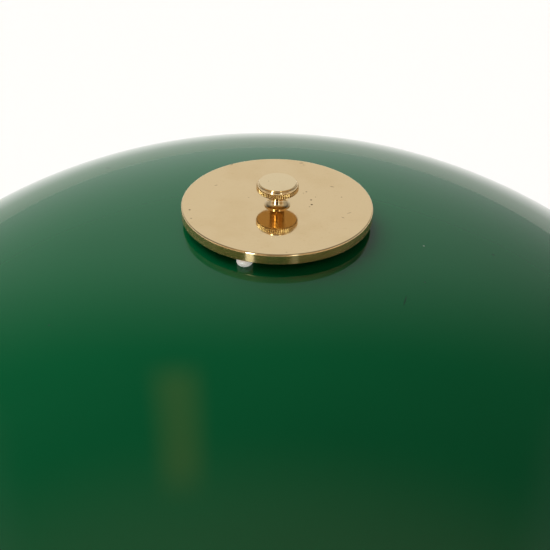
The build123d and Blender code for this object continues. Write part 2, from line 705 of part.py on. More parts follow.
def finial():
    """The knurled thumb finial: raised face, bright shoulder, slim neck and trumpet foot."""
    top = CAP_TOP + FINIAL_HEIGHT
    step = top - FINIAL_FACE_STEP
    knurl_top = step - FINIAL_SHOULDER_DROP
    knurl_low = knurl_top - KNURL_HEIGHT
    under = knurl_low - FINIAL_UNDERCUT
    head = FINIAL_HEAD_DIAMETER / 2
    face = FINIAL_FACE_DIAMETER / 2
    neck = FINIAL_NECK_DIAMETER / 2
    flare = (neck, CAP_TOP + FINIAL_NECK_HEIGHT)
    foot = (FINIAL_FOOT_DIAMETER / 2, CAP_TOP + FINIAL_FOOT_LIP)
    bore_top = CAP_TOP + FINIAL_BORE_DEPTH
    blank = turned(
        Polyline((STUD_THREAD, CAP_TOP), (foot[0], CAP_TOP), foot),
        TangentArc(flare, foot, tangent=(0, -1)),
        Polyline(flare, (neck, under), (head - FINIAL_UNDERCUT, under), (head, knurl_low), (head, knurl_top)),
        Polyline((head, knurl_top), (face, step), (face, top), (0, top), (0, bore_top)),
        Polyline((0, bore_top), (STUD_THREAD, bore_top), (STUD_THREAD, CAP_TOP)),
    )
    return blank & knurl_blank()


SINGLE_PIECES = [
    felt_pad, base_shell, base_weight, base_washer, base_nut, cord_bushing,
    threaded_pipe, column_foot, column_tube, column_cap,
    cluster_body, cluster_cover, pipe_nut, stem_nut,
    riser_stem, seat_nut, shade_seat, lower_gasket, shade, upper_gasket,
    cap_bumpers, cap_disc, finial_stud, finial,
]
PAIRED_PIECES = [
    socket_nipple, socket_cap, socket_shell, socket_liner, socket_core, screw_shell, centre_contact,
    bulb_base, bulb_glass, chain_guide, pull_chain, pull_ball,
]
SIDES = {"left": -1, "right": 1}


def main():
    """Writes one STEP file for each piece."""
    os.makedirs("parts", exist_ok=True)
    for piece in SINGLE_PIECES:
        export_step(piece(), f"parts/{piece.__name__}.step")
    for piece in PAIRED_PIECES:
        for name, side in SIDES.items():
            export_step(piece(side), f"parts/{piece.__name__}_{name}.step")


if __name__ == "__main__":
    main()
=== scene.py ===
"""Looks of the desk lamp: finishes, smooth pieces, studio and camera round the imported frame.

Sizes are millimetres in the lamp's own frame, +Z up, and meshes are metres.
"""

import json
import logging
import math
from dataclasses import dataclass
from enum import Enum
from functools import reduce
from operator import or_
from typing import Any, Optional, Union

import bmesh
import bpy
from mathutils import Matrix, Vector


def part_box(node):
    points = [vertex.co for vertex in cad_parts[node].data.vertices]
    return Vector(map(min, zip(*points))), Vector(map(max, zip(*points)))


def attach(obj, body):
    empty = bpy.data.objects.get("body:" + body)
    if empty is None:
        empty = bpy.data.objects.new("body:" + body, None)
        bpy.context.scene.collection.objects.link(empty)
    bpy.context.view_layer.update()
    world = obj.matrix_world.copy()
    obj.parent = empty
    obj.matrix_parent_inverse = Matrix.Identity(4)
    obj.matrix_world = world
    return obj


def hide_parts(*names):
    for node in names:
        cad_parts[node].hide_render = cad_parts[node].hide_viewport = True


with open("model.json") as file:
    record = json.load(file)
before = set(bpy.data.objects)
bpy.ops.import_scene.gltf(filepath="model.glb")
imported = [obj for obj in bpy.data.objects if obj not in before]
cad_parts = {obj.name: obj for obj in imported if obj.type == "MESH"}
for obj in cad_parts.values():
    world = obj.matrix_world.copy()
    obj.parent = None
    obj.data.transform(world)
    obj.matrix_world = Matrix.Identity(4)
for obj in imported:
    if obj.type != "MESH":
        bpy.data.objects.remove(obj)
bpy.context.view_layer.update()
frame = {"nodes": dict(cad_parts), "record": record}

LOG = logging.getLogger("lamp")

MM = 0.001
SHARP_ANGLE = math.radians(32)
MERGE_DISTANCE = 1e-7
NOISE_MIDDLE = 0.5
QUARTER_TURN, HALF_TURN, FULL_TURN = 90.0, 180.0, 360.0

Colour = tuple[float, float, float]
Point = tuple[float, float, float]
Edge = tuple[float, float]

DARK: Colour = (0.0, 0.0, 0.0)
ORIGIN: Point = (0.0, 0.0, 0.0)
Y_AXIS: Point = (0.0, 1.0, 0.0)
Z_AXIS: Point = (0.0, 0.0, 1.0)


class Slot(Enum):
    """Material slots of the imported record."""

    GREEN_GLASS = "green_glass"
    POLISHED_BRASS = "polished_brass"
    PLATED_STEEL = "plated_steel"
    BLACK_RUBBER = "black_rubber"
    PALE_PAD = "pale_pad"
    FELT = "felt"
    CAST_IRON = "cast_iron"
    BLACK_MOULDING = "black_moulding"
    FIBRE_LINER = "fibre_liner"
    BRIGHT_ALUMINIUM = "bright_aluminium"
    FROSTED_GLASS = "frosted_glass"


class Body(Enum):
    """Bodies that pieces ride on."""

    LAMP = "lamp"
    STUD = "finial_stud"
    FINIAL = "finial"
    LEFT_PULL = "left_pull"
    RIGHT_PULL = "right_pull"


class Side(Enum):
    """The two sockets, by the direction that they point in along X."""

    LEFT = -1
    RIGHT = 1

    @property
    def label(self) -> str:
        """The ending of this side's piece names."""
        return self.name.lower()

    @property
    def pull(self) -> Body:
        """The body of this side's pull chain."""
        return Body.LEFT_PULL if self is Side.LEFT else Body.RIGHT_PULL


def span(node: str) -> tuple[Vector, Vector]:
    """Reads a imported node's box.

    Args:
        node: Name of the node.

    Returns:
        Its lowest and highest corners in millimetres.
    """
    low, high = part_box(node)
    return low / MM, high / MM


class Value:
    """A socket of a node graph that takes part in Python arithmetic."""

    def __init__(self, graph: "Graph", socket: Optional[bpy.types.NodeSocket]) -> None:
        """Keeps the graph and the socket."""
        self.graph = graph
        self.socket = socket

    def _maths(self, operation: str, first: "Number", second: "Number") -> "Value":
        """Adds one Math node to the graph."""
        inputs = {0: first, 1: second}
        return self.graph.node("ShaderNodeMath", {"operation": operation}, inputs)

    def __add__(self, other: "Number") -> "Value":
        """Sum."""
        return self._maths("ADD", self, other)

    __radd__ = __add__

    def __sub__(self, other: "Number") -> "Value":
        """Difference."""
        return self._maths("SUBTRACT", self, other)

    def __rsub__(self, other: "Number") -> "Value":
        """Difference from a plain number."""
        return self._maths("SUBTRACT", other, self)

    def __mul__(self, other: "Number") -> "Value":
        """Product."""
        return self._maths("MULTIPLY", self, other)

    __rmul__ = __mul__

    def __or__(self, other: "Number") -> "Value":
        """The larger of two masks."""
        return self._maths("MAXIMUM", self, other)

    def __abs__(self) -> "Value":
        """Size without sign."""
        return self._maths("ABSOLUTE", self, 0.0)


Number = Union[Value, float]
Metal = tuple[Any, Number, Number]


class Graph:
    """The node tree of one material or of the world."""

    MIX_SHARE, MIX_FIRST, MIX_SECOND, MIX_RESULT = 0, 6, 7, 2

    def __init__(self, tree: bpy.types.NodeTree) -> None:
        """Starts from an empty tree."""
        self.tree = tree
        self.tree.nodes.clear()

    def node(
        self,
        kind: str,
        settings: Optional[dict[str, Any]] = None,
        inputs: Optional[dict[Union[str, int], Any]] = None,
        output: Union[str, int] = 0,
    ) -> Value:
        """Adds any node.

        Args:
            kind: Blender's name of the node's type.
            settings: Attributes of the node, set first.
            inputs: Values or links of its sockets, by name or number.
            output: The socket to hand on.

        Returns:
            The chosen output socket.
        """
        node = self.tree.nodes.new(kind)
        for name, setting in (settings or {}).items():
            setattr(node, name, setting)
        for key, given in (inputs or {}).items():
            if isinstance(given, Value):
                self.tree.links.new(given.socket, node.inputs[key])
            else:
                node.inputs[key].default_value = given
        return Value(self, node.outputs[output] if len(node.outputs) else None)

    def place(self) -> Value:
        """The point on the object, in metres."""
        return self.node("ShaderNodeTexCoord", output="Object")

    def axis(self, vector: Value, name: str) -> Value:
        """One part of a vector: X, Y or Z."""
        return self.node("ShaderNodeSeparateXYZ", {}, {0: vector}, name)

    def length(self, vector: Value) -> Value:
        """The length of a vector."""
        return self.node("ShaderNodeVectorMath", {"operation": "LENGTH"}, {0: vector}, "Value")

    def stretched(self, where: Value, turn: Point, scale: Point) -> Value:
        """A turned and stretched copy of a place.

        Args:
            where: The place.
            turn: Turns about X, Y and Z in degrees.
            scale: Stretch along X, Y and Z.

        Returns:
            The new place.
        """
        angles = tuple(math.radians(angle) for angle in turn)
        inputs = {"Vector": where, "Rotation": angles, "Scale": scale}
        return self.node("ShaderNodeMapping", {}, inputs, "Vector")

    def noise(self, where: Value, size: float, detail: float = 2.0) -> Value:
        """Soft noise.

        Args:
            where: The place.
            size: Length of its features in millimetres.
            detail: Number of finer layers.

        Returns:
            Noise from 0 to 1.
        """
        inputs = {"Vector": where, "Scale": 1.0 / (size * MM), "Detail": detail}
        return self.node("ShaderNodeTexNoise", {}, inputs, "Fac")

    def step(self, value: Value, low: float, high: float) -> Value:
        """A soft step that is 0 below low and 1 above high."""
        inputs = {"Value": value, "From Min": low, "From Max": high}
        return self.node("ShaderNodeMapRange", {"interpolation_type": "SMOOTHSTEP"}, inputs)

    def mix(self, share: Number, first: Any, second: Any) -> Value:
        """Blends two colours.

        Args:
            share: How much of the second.
            first: A colour or a link.
            second: A colour or a link.

        Returns:
            The blended colour.
        """
        pair = [given if isinstance(given, Value) else (*given, 1.0) for given in (first, second)]
        return self._blend("MIX", share, *pair)

    def add(self, first: Value, second: Value) -> Value:
        """The sum of two colours."""
        return self._blend("ADD", 1.0, first, second)

    def _blend(self, blend: str, share: Number, first: Any, second: Any) -> Value:
        """Adds one Mix node for colours.

        Args:
            blend: How the colours are put together.
            share: How much of the second.
            first: A colour with alpha or a link.
            second: A colour with alpha or a link.

        Returns:
            The new colour.
        """
        settings = {"data_type": "RGBA", "blend_type": blend}
        inputs = {self.MIX_SHARE: share, self.MIX_FIRST: first, self.MIX_SECOND: second}
        return self.node("ShaderNodeMix", settings, inputs, self.MIX_RESULT)

    def grey(self, level: Value) -> Value:
        """A neutral colour of the given level."""
        return self.node("ShaderNodeCombineColor", {}, {0: level, 1: level, 2: level})

    def spot(self, where: Value, mark: "Mark") -> Value:
        """A soft-edged spot round one mark.

        Args:
            where: The place.
            mark: The mark.

        Returns:
            The mark's strength in its core, falling to 0 at its edge.
        """
        inputs = {
            "Vector": where,
            "Location": Vector(mark.place) * MM,
            "Rotation": (0.0, 0.0, math.radians(mark.turn)),
            "Scale": (mark.length * MM, mark.radius * MM, mark.depth * MM),
        }
        local = self.node("ShaderNodeMapping", {"vector_type": "TEXTURE"}, inputs, "Vector")
        return mark.strength * (1.0 - self.step(self.length(local), mark.core, 1.0))

    def spots(self, where: Value, marks: tuple["Mark", ...]) -> Optional[Value]:
        """All marks of a finish as one mask, or None where it has none."""
        masks = [self.spot(where, mark) for mark in marks]
        return reduce(or_, masks) if masks else None

    def bump(self, height: Value, depth: float) -> Value:
        """A normal from a height of 0 to 1 times a depth in millimetres."""
        inputs = {"Height": height, "Distance": depth * MM, "Strength": 1.0}
        return self.node("ShaderNodeBump", {}, inputs, "Normal")

    def surface(self, inputs: dict[str, Any]) -> Value:
        """The main surface shader with the given sockets."""
        return self.node("ShaderNodeBsdfPrincipled", {}, inputs)


@dataclass(frozen=True)
class Mark:
    """A pit, speck or scratch: its place and size in millimetres and its turn in degrees."""

    place: Point
    radius: float
    strength: float = 1.0
    stretch: float = 1.0
    turn: float = 0.0
    core: float = 0.35

    @property
    def length(self) -> float:
        """Half the mark's length along its own X axis."""
        return self.radius * self.stretch

    @property
    def depth(self) -> float:
        """Half the mark's depth, enough to cut a sloping surface."""
        return max(self.length, self.radius)


@dataclass(frozen=True)
class Patches:
    """Patches cut out of soft noise: the noise's size in millimetres and the step that cuts it."""

    size: float
    detail: float
    low: float
    high: float

    def mask(self, graph: Graph, where: Value) -> Value:
        """1 in the patches and 0 between them."""
        return graph.step(graph.noise(where, self.size, self.detail), self.low, self.high)


@dataclass(frozen=True)
class Finish:
    """What every finish shares: a name, the record's slot and a way to make its material."""

    name: str
    slot: Slot

    def shader(self, graph: Graph) -> Value:
        """The finish's own surface."""
        raise NotImplementedError

    def material(self) -> bpy.types.Material:
        """Makes the finish's material.

        Returns:
            The new material.
        """
        material = bpy.data.materials.new(self.name)
        material.use_nodes = True
        graph = Graph(material.node_tree)
        surface = self.shader(graph)
        graph.node("ShaderNodeOutputMaterial", {}, {"Surface": surface})
        return material


@dataclass(frozen=True)
class PolishedBrass(Finish):
    """Polished brass with cloudy tarnish, freckles, hairline scratches and pits."""

    colour: Colour = (0.965, 0.735, 0.415)
    tarnish: Colour = (0.80, 0.55, 0.25)
    pit: Colour = (0.14, 0.08, 0.03)
    roughness: float = 0.045
    haze: float = 0.05
    marks: tuple[Mark, ...] = ()
    clouds: Patches = Patches(14.0, 4.0, 0.42, 0.72)
    freckles: Patches = Patches(1.1, 3.0, 0.60, 0.74)
    scratches: Patches = Patches(0.22, 1.0, 0.66, 0.74)
    scratch_turns: tuple[float, ...] = (24.0, -57.0)
    scratch_stretch: Point = (0.012, 1.0, 1.0)
    cloud_tint: float = 0.22
    freckle_tint: float = 0.16
    fine_haze: float = 0.05
    pit_haze: float = 0.35
    scratch_share: float = 0.25
    relief: float = 0.004

    def shader(self, graph: Graph) -> Value:
        """Mirror brass, duller in clouds, along scratches and in pits.

        Args:
            graph: The material's graph.

        Returns:
            The surface.
        """
        where = graph.place()
        cloud = self.clouds.mask(graph, where)
        freckle = self.freckles.mask(graph, where)
        lines = self.hairlines(graph, where)
        pits = graph.spots(where, self.marks)
        clean, blur, metallic = self.metal(graph, where)
        tint = self.cloud_tint * cloud + self.freckle_tint * freckle
        colour = graph.mix(tint, clean, self.tarnish)
        rough = self.roughness + self.haze * cloud + self.fine_haze * (freckle + lines) + blur
        height = 1.0 - self.scratch_share * lines
        if pits is not None:
            colour = graph.mix(pits, colour, self.pit)
            rough = rough + self.pit_haze * pits
            height = height - pits
        normal = graph.bump(height, self.relief)
        inputs = {"Base Color": colour, "Metallic": metallic, "Roughness": rough, "Normal": normal}
        return graph.surface(inputs)

    def metal(self, graph: Graph, where: Value) -> Metal:
        """The clean metal's colour, what it adds to the roughness, and how metallic it is."""
        return self.colour, 0.0, 1.0

    def hairlines(self, graph: Graph, where: Value) -> Value:
        """Fine scratches, 1 in them and 0 between them.

        Args:
            graph: The material's graph.
            where: The place.

        Returns:
            The mask of the scratches of all directions.
        """
        masks = []
        for turn in self.scratch_turns:
            along = graph.stretched(where, (0.0, 0.0, turn), self.scratch_stretch)
            masks.append(self.scratches.mask(graph, along))
        return reduce(or_, masks)


@dataclass(frozen=True)
class BandedBrass(PolishedBrass):
    """Brass with a paler face and a duller band, at depths in millimetres below its top."""

    face: Colour = PolishedBrass.colour
    band: Colour = PolishedBrass.colour
    band_blur: float = 0.0
    band_dull: float = 0.0
    top: float = 0.0
    face_depth: float = 0.0
    band_start: float = 0.0
    band_end: float = 0.0
    blend: float = 0.08

    def metal(self, graph: Graph, where: Value) -> Metal:
        """Three kinds of metal by level.

        Args:
            graph: The material's graph.
            where: The place.

        Returns:
            Colour, added roughness and how metallic it is.
        """
        band = self.band_mask(graph, where)
        clean = graph.mix(self.above(graph, where, self.face_depth), self.colour, self.face)
        colour = graph.mix(band, clean, self.band)
        return colour, self.band_blur * band, 1.0 - self.band_dull * band

    def band_mask(self, graph: Graph, where: Value) -> Value:
        """1 in the band and 0 above and below it."""
        over = self.above(graph, where, self.band_start - self.blend)
        return self.above(graph, where, self.band_end) * (1.0 - over)

    def above(self, graph: Graph, where: Value, depth: float) -> Value:
        """1 above a depth and 0 just below it."""
        level = self.top - depth
        return graph.step(graph.axis(where, "Z"), (level - self.blend) * MM, level * MM)


@dataclass(frozen=True)
class KnurledBrass(BandedBrass):
    """Banded brass whose band has a painted highlight on its crests and painted shade in its
    grooves, at depths in from its rim.
    """

    # crest is a painted highlight colour for the teeth's tips; the groove colour below is painted
    # shade between the teeth
    crest: Colour = (1.0, 0.76, 0.42)
    painted_groove_shade: Colour = (0.14, 0.08, 0.02)
    rim: float = 0.0
    crest_depth: float = 0.06
    groove_depth: float = 0.24
    groove_blend: float = 0.2

    def metal(self, graph: Graph, where: Value) -> Metal:
        """Banded metal, with a painted highlight on the knurl's crests and painted shade in its
        grooves, by distance from the axis.

        Args:
            graph: The material's graph.
            where: The place.

        Returns:
            Colour, added roughness and how metallic it is.
        """
        colour, blur, metallic = super().metal(graph, where)
        reach = graph.length(graph.stretched(where, ORIGIN, (1.0, 1.0, 0.0)))
        low, high = self.rim - self.groove_depth, self.rim - self.crest_depth
        outer = graph.step(reach, (low - self.groove_blend) * MM, low * MM)
        # painted knurl shading: painted shade deep in the grooves, painted highlight at the crests
        knurl = graph.mix(graph.step(reach, low * MM, high * MM), self.painted_groove_shade, self.crest)
        return graph.mix(outer * self.band_mask(graph, where), colour, knurl), blur, metallic


@dataclass(frozen=True)
class CasedGlass(Finish):
    """Glossy deep-green glass with faint smears, dust and a few specks."""

    colour: Colour = (0.0007, 0.088, 0.0275)
    deep: Colour = (0.0005, 0.078, 0.0245)
    speck: Colour = (0.004, 0.02, 0.012)
    dust: Colour = (0.20, 0.26, 0.22)
    roughness: float = 0.03
    ior: float = 1.42
    specks: tuple[Mark, ...] = ()
    grains: tuple[Mark, ...] = ()
    drift: float = 60.0
    smears: Patches = Patches(18.0, 3.0, 0.45, 0.8)
    smear_turn: Point = (0.0, 0.0, 35.0)
    smear_stretch: Point = (0.4, 1.0, 1.0)
    smear_haze: float = 0.03
    dusting: Patches = Patches(0.7, 1.0, 0.76, 0.82)
    dust_tint: float = 0.06
    dust_haze: float = 0.10
    mark_haze: float = 0.4

    def shader(self, graph: Graph) -> Value:
        """Even green under a clear gloss, with what lies on it.

        Args:
            graph: The material's graph.

        Returns:
            The surface.
        """
        where = graph.place()
        smeared = graph.stretched(where, self.smear_turn, self.smear_stretch)
        smear = self.smears.mask(graph, smeared)
        fine = self.dusting.mask(graph, where)
        colour = graph.mix(graph.noise(where, self.drift), self.colour, self.deep)
        colour = graph.mix(self.dust_tint * fine, colour, self.dust)
        rough = self.roughness + self.smear_haze * smear + self.dust_haze * fine
        for marks, tint in ((self.specks, self.speck), (self.grains, self.dust)):
            mask = graph.spots(where, marks)
            if mask is not None:
                colour = graph.mix(mask, colour, tint)
                rough = rough + self.mark_haze * mask
        return graph.surface({"Base Color": colour, "Roughness": rough, "IOR": self.ior})


@dataclass(frozen=True)
class Grained(Finish):
    """A plain material whose colour, gloss and relief follow one grain, with an optional painted
    glow in its own colour.
    """

    colour: Colour
    shade: Colour
    grain: float
    roughness: float
    swing: float = 0.1
    relief: float = 0.0
    metallic: float = 0.0
    sheen: float = 0.0
    # glow: strength of a painted glow, light that the surface gives off in its own colour though
    # it is no lamp
    glow: float = 0.0
    stretch: Point = (1.0, 1.0, 1.0)
    grain_detail: float = 4.0
    grain_share: float = 0.65
    blotch_ratio: float = 9.0
    blend: Edge = (0.3, 0.7)

    def shader(self, graph: Graph) -> Value:
        """Two colours mixed by the grain.

        Args:
            graph: The material's graph.

        Returns:
            The surface.
        """
        where = graph.stretched(graph.place(), ORIGIN, self.stretch)
        grain = graph.noise(where, self.grain, self.grain_detail)
        blotch = graph.noise(where, self.grain * self.blotch_ratio)
        mottle = self.grain_share * grain + (1.0 - self.grain_share) * blotch
        inputs = {
            "Base Color": graph.mix(graph.step(mottle, *self.blend), self.colour, self.shade),
            "Roughness": self.roughness + self.swing * (mottle - NOISE_MIDDLE),
            "Metallic": self.metallic,
            "Sheen Weight": self.sheen,
            # painted glow: emission in the finish's own colour, at the glow's strength
            "Emission Color": (*self.colour, 1.0),
            "Emission Strength": self.glow,
        }
        if self.relief:
            inputs["Normal"] = graph.bump(grain, self.relief)
        return graph.surface(inputs)


@dataclass(frozen=True)
class DomeCurve:
    """The dome's outside: a flat land, then an arc whose centre lies off the axis."""

    land: float
    land_radius: float = 27.0
    radius: float = 226.5
    offset: float = 12.0

    @property
    def centre(self) -> float:
        """The level of the arc's centre."""
        return self.land - math.sqrt(self.radius**2 - (self.land_radius - self.offset) ** 2)

    def point(self, x: float, y: float) -> Point:
        """The point of the arc above a place."""
        across = math.hypot(x, y) - self.offset
        return x, y, self.centre + math.sqrt(self.radius**2 - across**2)


DOME = DomeCurve(span("shade")[1].z)
CAP_LEVEL = span("cap_disc")[1].z
FACE_LEVEL = span("finial")[1].z
HEAD_RADIUS = span("finial")[1].x

CAP_PITS = (
    Mark((12.4, 3.7, CAP_LEVEL), 0.50),
    Mark((12.6, 0.3, CAP_LEVEL), 0.58),
    Mark((11.8, -1.3, CAP_LEVEL), 0.36, 0.6),
    Mark((10.7, 9.6, CAP_LEVEL), 0.41, 0.8),
    Mark((9.6, 8.6, CAP_LEVEL), 0.31, 0.7),
    Mark((14.0, 5.9, CAP_LEVEL), 0.31, 0.6),
    Mark((23.6, 6.3, CAP_LEVEL), 0.41, 0.5),
    Mark((20.3, 13.9, CAP_LEVEL), 0.36, 0.6, 3.0, -20.0),
    Mark((8.9, 31.8, CAP_LEVEL), 0.41, 0.6, 2.4, 10.0),
    Mark((9.8, 30.3, CAP_LEVEL), 0.36, 0.7),
    Mark((-17.7, 29.2, CAP_LEVEL), 0.41, 0.5, 2.0, 35.0),
    Mark((-22.9, 13.0, CAP_LEVEL), 0.29, 0.5, 3.0, 25.0),
    Mark((-31.6, -5.5, CAP_LEVEL), 0.53, 0.8),
    Mark((-30.7, -11.5, CAP_LEVEL), 0.41, 0.7),
    Mark((-10.5, 4.4, CAP_LEVEL), 0.34, 0.4),
    Mark((26.1, -5.1, CAP_LEVEL), 0.31, 0.45, 4.0, 30.0),
    Mark((23.8, -8.5, CAP_LEVEL), 0.31, 0.45, 3.0, -40.0),
    Mark((3.6, -33.0, CAP_LEVEL), 0.31, 0.6),
)
FACE_PITS = (Mark((-3.3, 0.4, FACE_LEVEL), 0.30, 0.4),)
SHADE_SPECKS = (
    Mark(DOME.point(-69.1, 61.3), 1.2, 0.35, 3.0, -60.0),
    Mark(DOME.point(-77.3, -51.0), 0.55, 0.8),
    Mark(DOME.point(52.3, -32.8), 0.55, 0.7),
    Mark(DOME.point(79.6, -5.9), 0.60, 0.7),
    Mark(DOME.point(44.7, -44.4), 0.35, 0.7, 11.0, 76.0),
)
SHADE_GRAINS = (Mark(DOME.point(53.4, -11.0), 0.5, 0.9),)

BRASS = PolishedBrass("brass_polished", Slot.POLISHED_BRASS)
CAP_BRASS = BandedBrass(
    "brass_cap", Slot.POLISHED_BRASS, marks=CAP_PITS, band=(0.90, 0.56, 0.26), band_blur=0.07,
    band_dull=0.15, top=CAP_LEVEL, band_start=0.5, band_end=4.5,
)
# the knurl band of this finish gets KnurledBrass's painted crest highlight and painted groove
# shade
FINIAL_BRASS = KnurledBrass(
    "brass_finial", Slot.POLISHED_BRASS, haze=0.03, marks=FACE_PITS, face=(1.0, 0.80, 0.478),
    band=(0.60, 0.44, 0.22), band_blur=0.24, band_dull=0.15, top=FACE_LEVEL, face_depth=0.3,
    band_start=1.35, band_end=3.35, rim=HEAD_RADIUS,
)
GREEN_GLASS = CasedGlass(
    "glass_green", Slot.GREEN_GLASS, specks=SHADE_SPECKS, grains=SHADE_GRAINS
)
OPAL = Grained(
    "glass_opal_lining", Slot.GREEN_GLASS, (0.84, 0.84, 0.80), (0.80, 0.80, 0.76),
    grain=25.0, roughness=0.18, swing=0.06,
)
STEEL = Grained(
    "steel_plated", Slot.PLATED_STEEL, (0.62, 0.61, 0.58), (0.50, 0.49, 0.46),
    grain=0.6, roughness=0.30, swing=0.2, relief=0.004, metallic=1.0,
)
RUBBER = Grained(
    "rubber_black", Slot.BLACK_RUBBER, (0.020, 0.020, 0.020), (0.030, 0.030, 0.029),
    grain=0.5, roughness=0.65, swing=0.15, relief=0.02,
)
# pale pad finish: the pads' own pale colour plus a painted glow (glow=0.28) that brightens them
# like a lit highlight
PAD_WITH_PAINTED_GLOW = Grained(
    "pad_pale_painted_glow", Slot.PALE_PAD, (0.93, 0.94, 0.92), (0.88, 0.89, 0.87),
    grain=1.5, roughness=0.12, swing=0.05, glow=0.28,
)
FELT = Grained(
    "felt_green", Slot.FELT, (0.012, 0.045, 0.024), (0.030, 0.075, 0.045),
    grain=0.45, roughness=0.95, swing=0.05, relief=0.25, sheen=0.4,
)
IRON = Grained(
    "iron_cast", Slot.CAST_IRON, (0.075, 0.073, 0.070), (0.045, 0.043, 0.041),
    grain=0.9, roughness=0.70, swing=0.2, relief=0.08,
)
MOULDING = Grained(
    "moulding_black", Slot.BLACK_MOULDING, (0.014, 0.012, 0.011), (0.024, 0.020, 0.018),
    grain=1.2, roughness=0.24, swing=0.12, relief=0.004,
)
FIBRE = Grained(
    "fibre_brown", Slot.FIBRE_LINER, (0.36, 0.27, 0.16), (0.27, 0.19, 0.11),
    grain=0.5, roughness=0.85, swing=0.1, relief=0.03, stretch=(0.2, 1.0, 1.0),
)
ALUMINIUM = Grained(
    "aluminium_bright", Slot.BRIGHT_ALUMINIUM, (0.84, 0.84, 0.83), (0.74, 0.74, 0.73),
    grain=0.5, roughness=0.20, swing=0.12, relief=0.003, metallic=1.0,
)
FROSTED = Grained(
    "glass_frosted", Slot.FROSTED_GLASS, (0.90, 0.89, 0.86), (0.86, 0.85, 0.82),
    grain=3.0, roughness=0.38, swing=0.08,
)
PLAIN_FINISHES = (
    GREEN_GLASS, BRASS, STEEL, RUBBER, PAD_WITH_PAINTED_GLOW, FELT, IRON, MOULDING, FIBRE, ALUMINIUM, FROSTED,
)
SLOT_FINISHES = {finish.slot: finish for finish in PLAIN_FINISHES}


class Workshop:
    """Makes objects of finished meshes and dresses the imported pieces."""

    def __init__(self) -> None:
        """Starts with no materials made."""
        self.materials: dict[Finish, bpy.types.Material] = {}

    def material(self, finish: Finish) -> bpy.types.Material:
        """The material of a finish, made once.

        Args:
            finish: The finish.

        Returns:
            Its material.
        """
        if finish not in self.materials:
            self.materials[finish] = finish.material()
        return self.materials[finish]

    def piece(
        self,
        name: str,
        mesh: bmesh.types.BMesh,
        finishes: tuple[Finish, ...],
        body: Body,
        *nodes: str,
    ) -> None:
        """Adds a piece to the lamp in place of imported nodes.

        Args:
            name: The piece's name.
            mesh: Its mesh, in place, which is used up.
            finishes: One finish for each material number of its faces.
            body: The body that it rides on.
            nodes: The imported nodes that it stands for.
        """
        for face in mesh.faces:
            face.smooth = True
        for edge in mesh.edges:
            edge.smooth = edge.calc_face_angle(0.0) < SHARP_ANGLE
        data = bpy.data.meshes.new(name)
        mesh.to_mesh(data)
        mesh.free()
        for finish in finishes:
            data.materials.append(self.material(finish))
        piece = bpy.data.objects.new(name, data)
        bpy.context.scene.collection.objects.link(piece)
        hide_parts(*nodes)
        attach(piece, body.value)
        LOG.info("made %s for %s, %d faces", name, ", ".join(nodes), len(data.polygons))

    def dress_nodes(self) -> None:
        """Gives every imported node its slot's finish."""
        for subpart in frame["record"]["subparts"]:
            data = frame["nodes"][subpart["node"]].data
            data.materials.clear()
            data.materials.append(self.material(SLOT_FINISHES[Slot(subpart["material_slot"])]))


def solid(mesh: bmesh.types.BMesh) -> bmesh.types.BMesh:
    """Merges a mesh's doubles and turns its faces outwards.

    Args:
        mesh: A closed mesh.

    Returns:
        The same mesh.
    """
    bmesh.ops.remove_doubles(mesh, verts=mesh.verts, dist=MERGE_DISTANCE)
    bmesh.ops.recalc_face_normals(mesh, faces=mesh.faces)
    return mesh


def join(target: bmesh.types.BMesh, part: bmesh.types.BMesh) -> None:
    """Adds one mesh to another and frees it.

    Args:
        target: The mesh that grows.
        part: The mesh that is added and used up.
    """
    data = bpy.data.meshes.new("joined")
    part.to_mesh(data)
    part.free()
    target.from_mesh(data)
    bpy.data.meshes.remove(data)


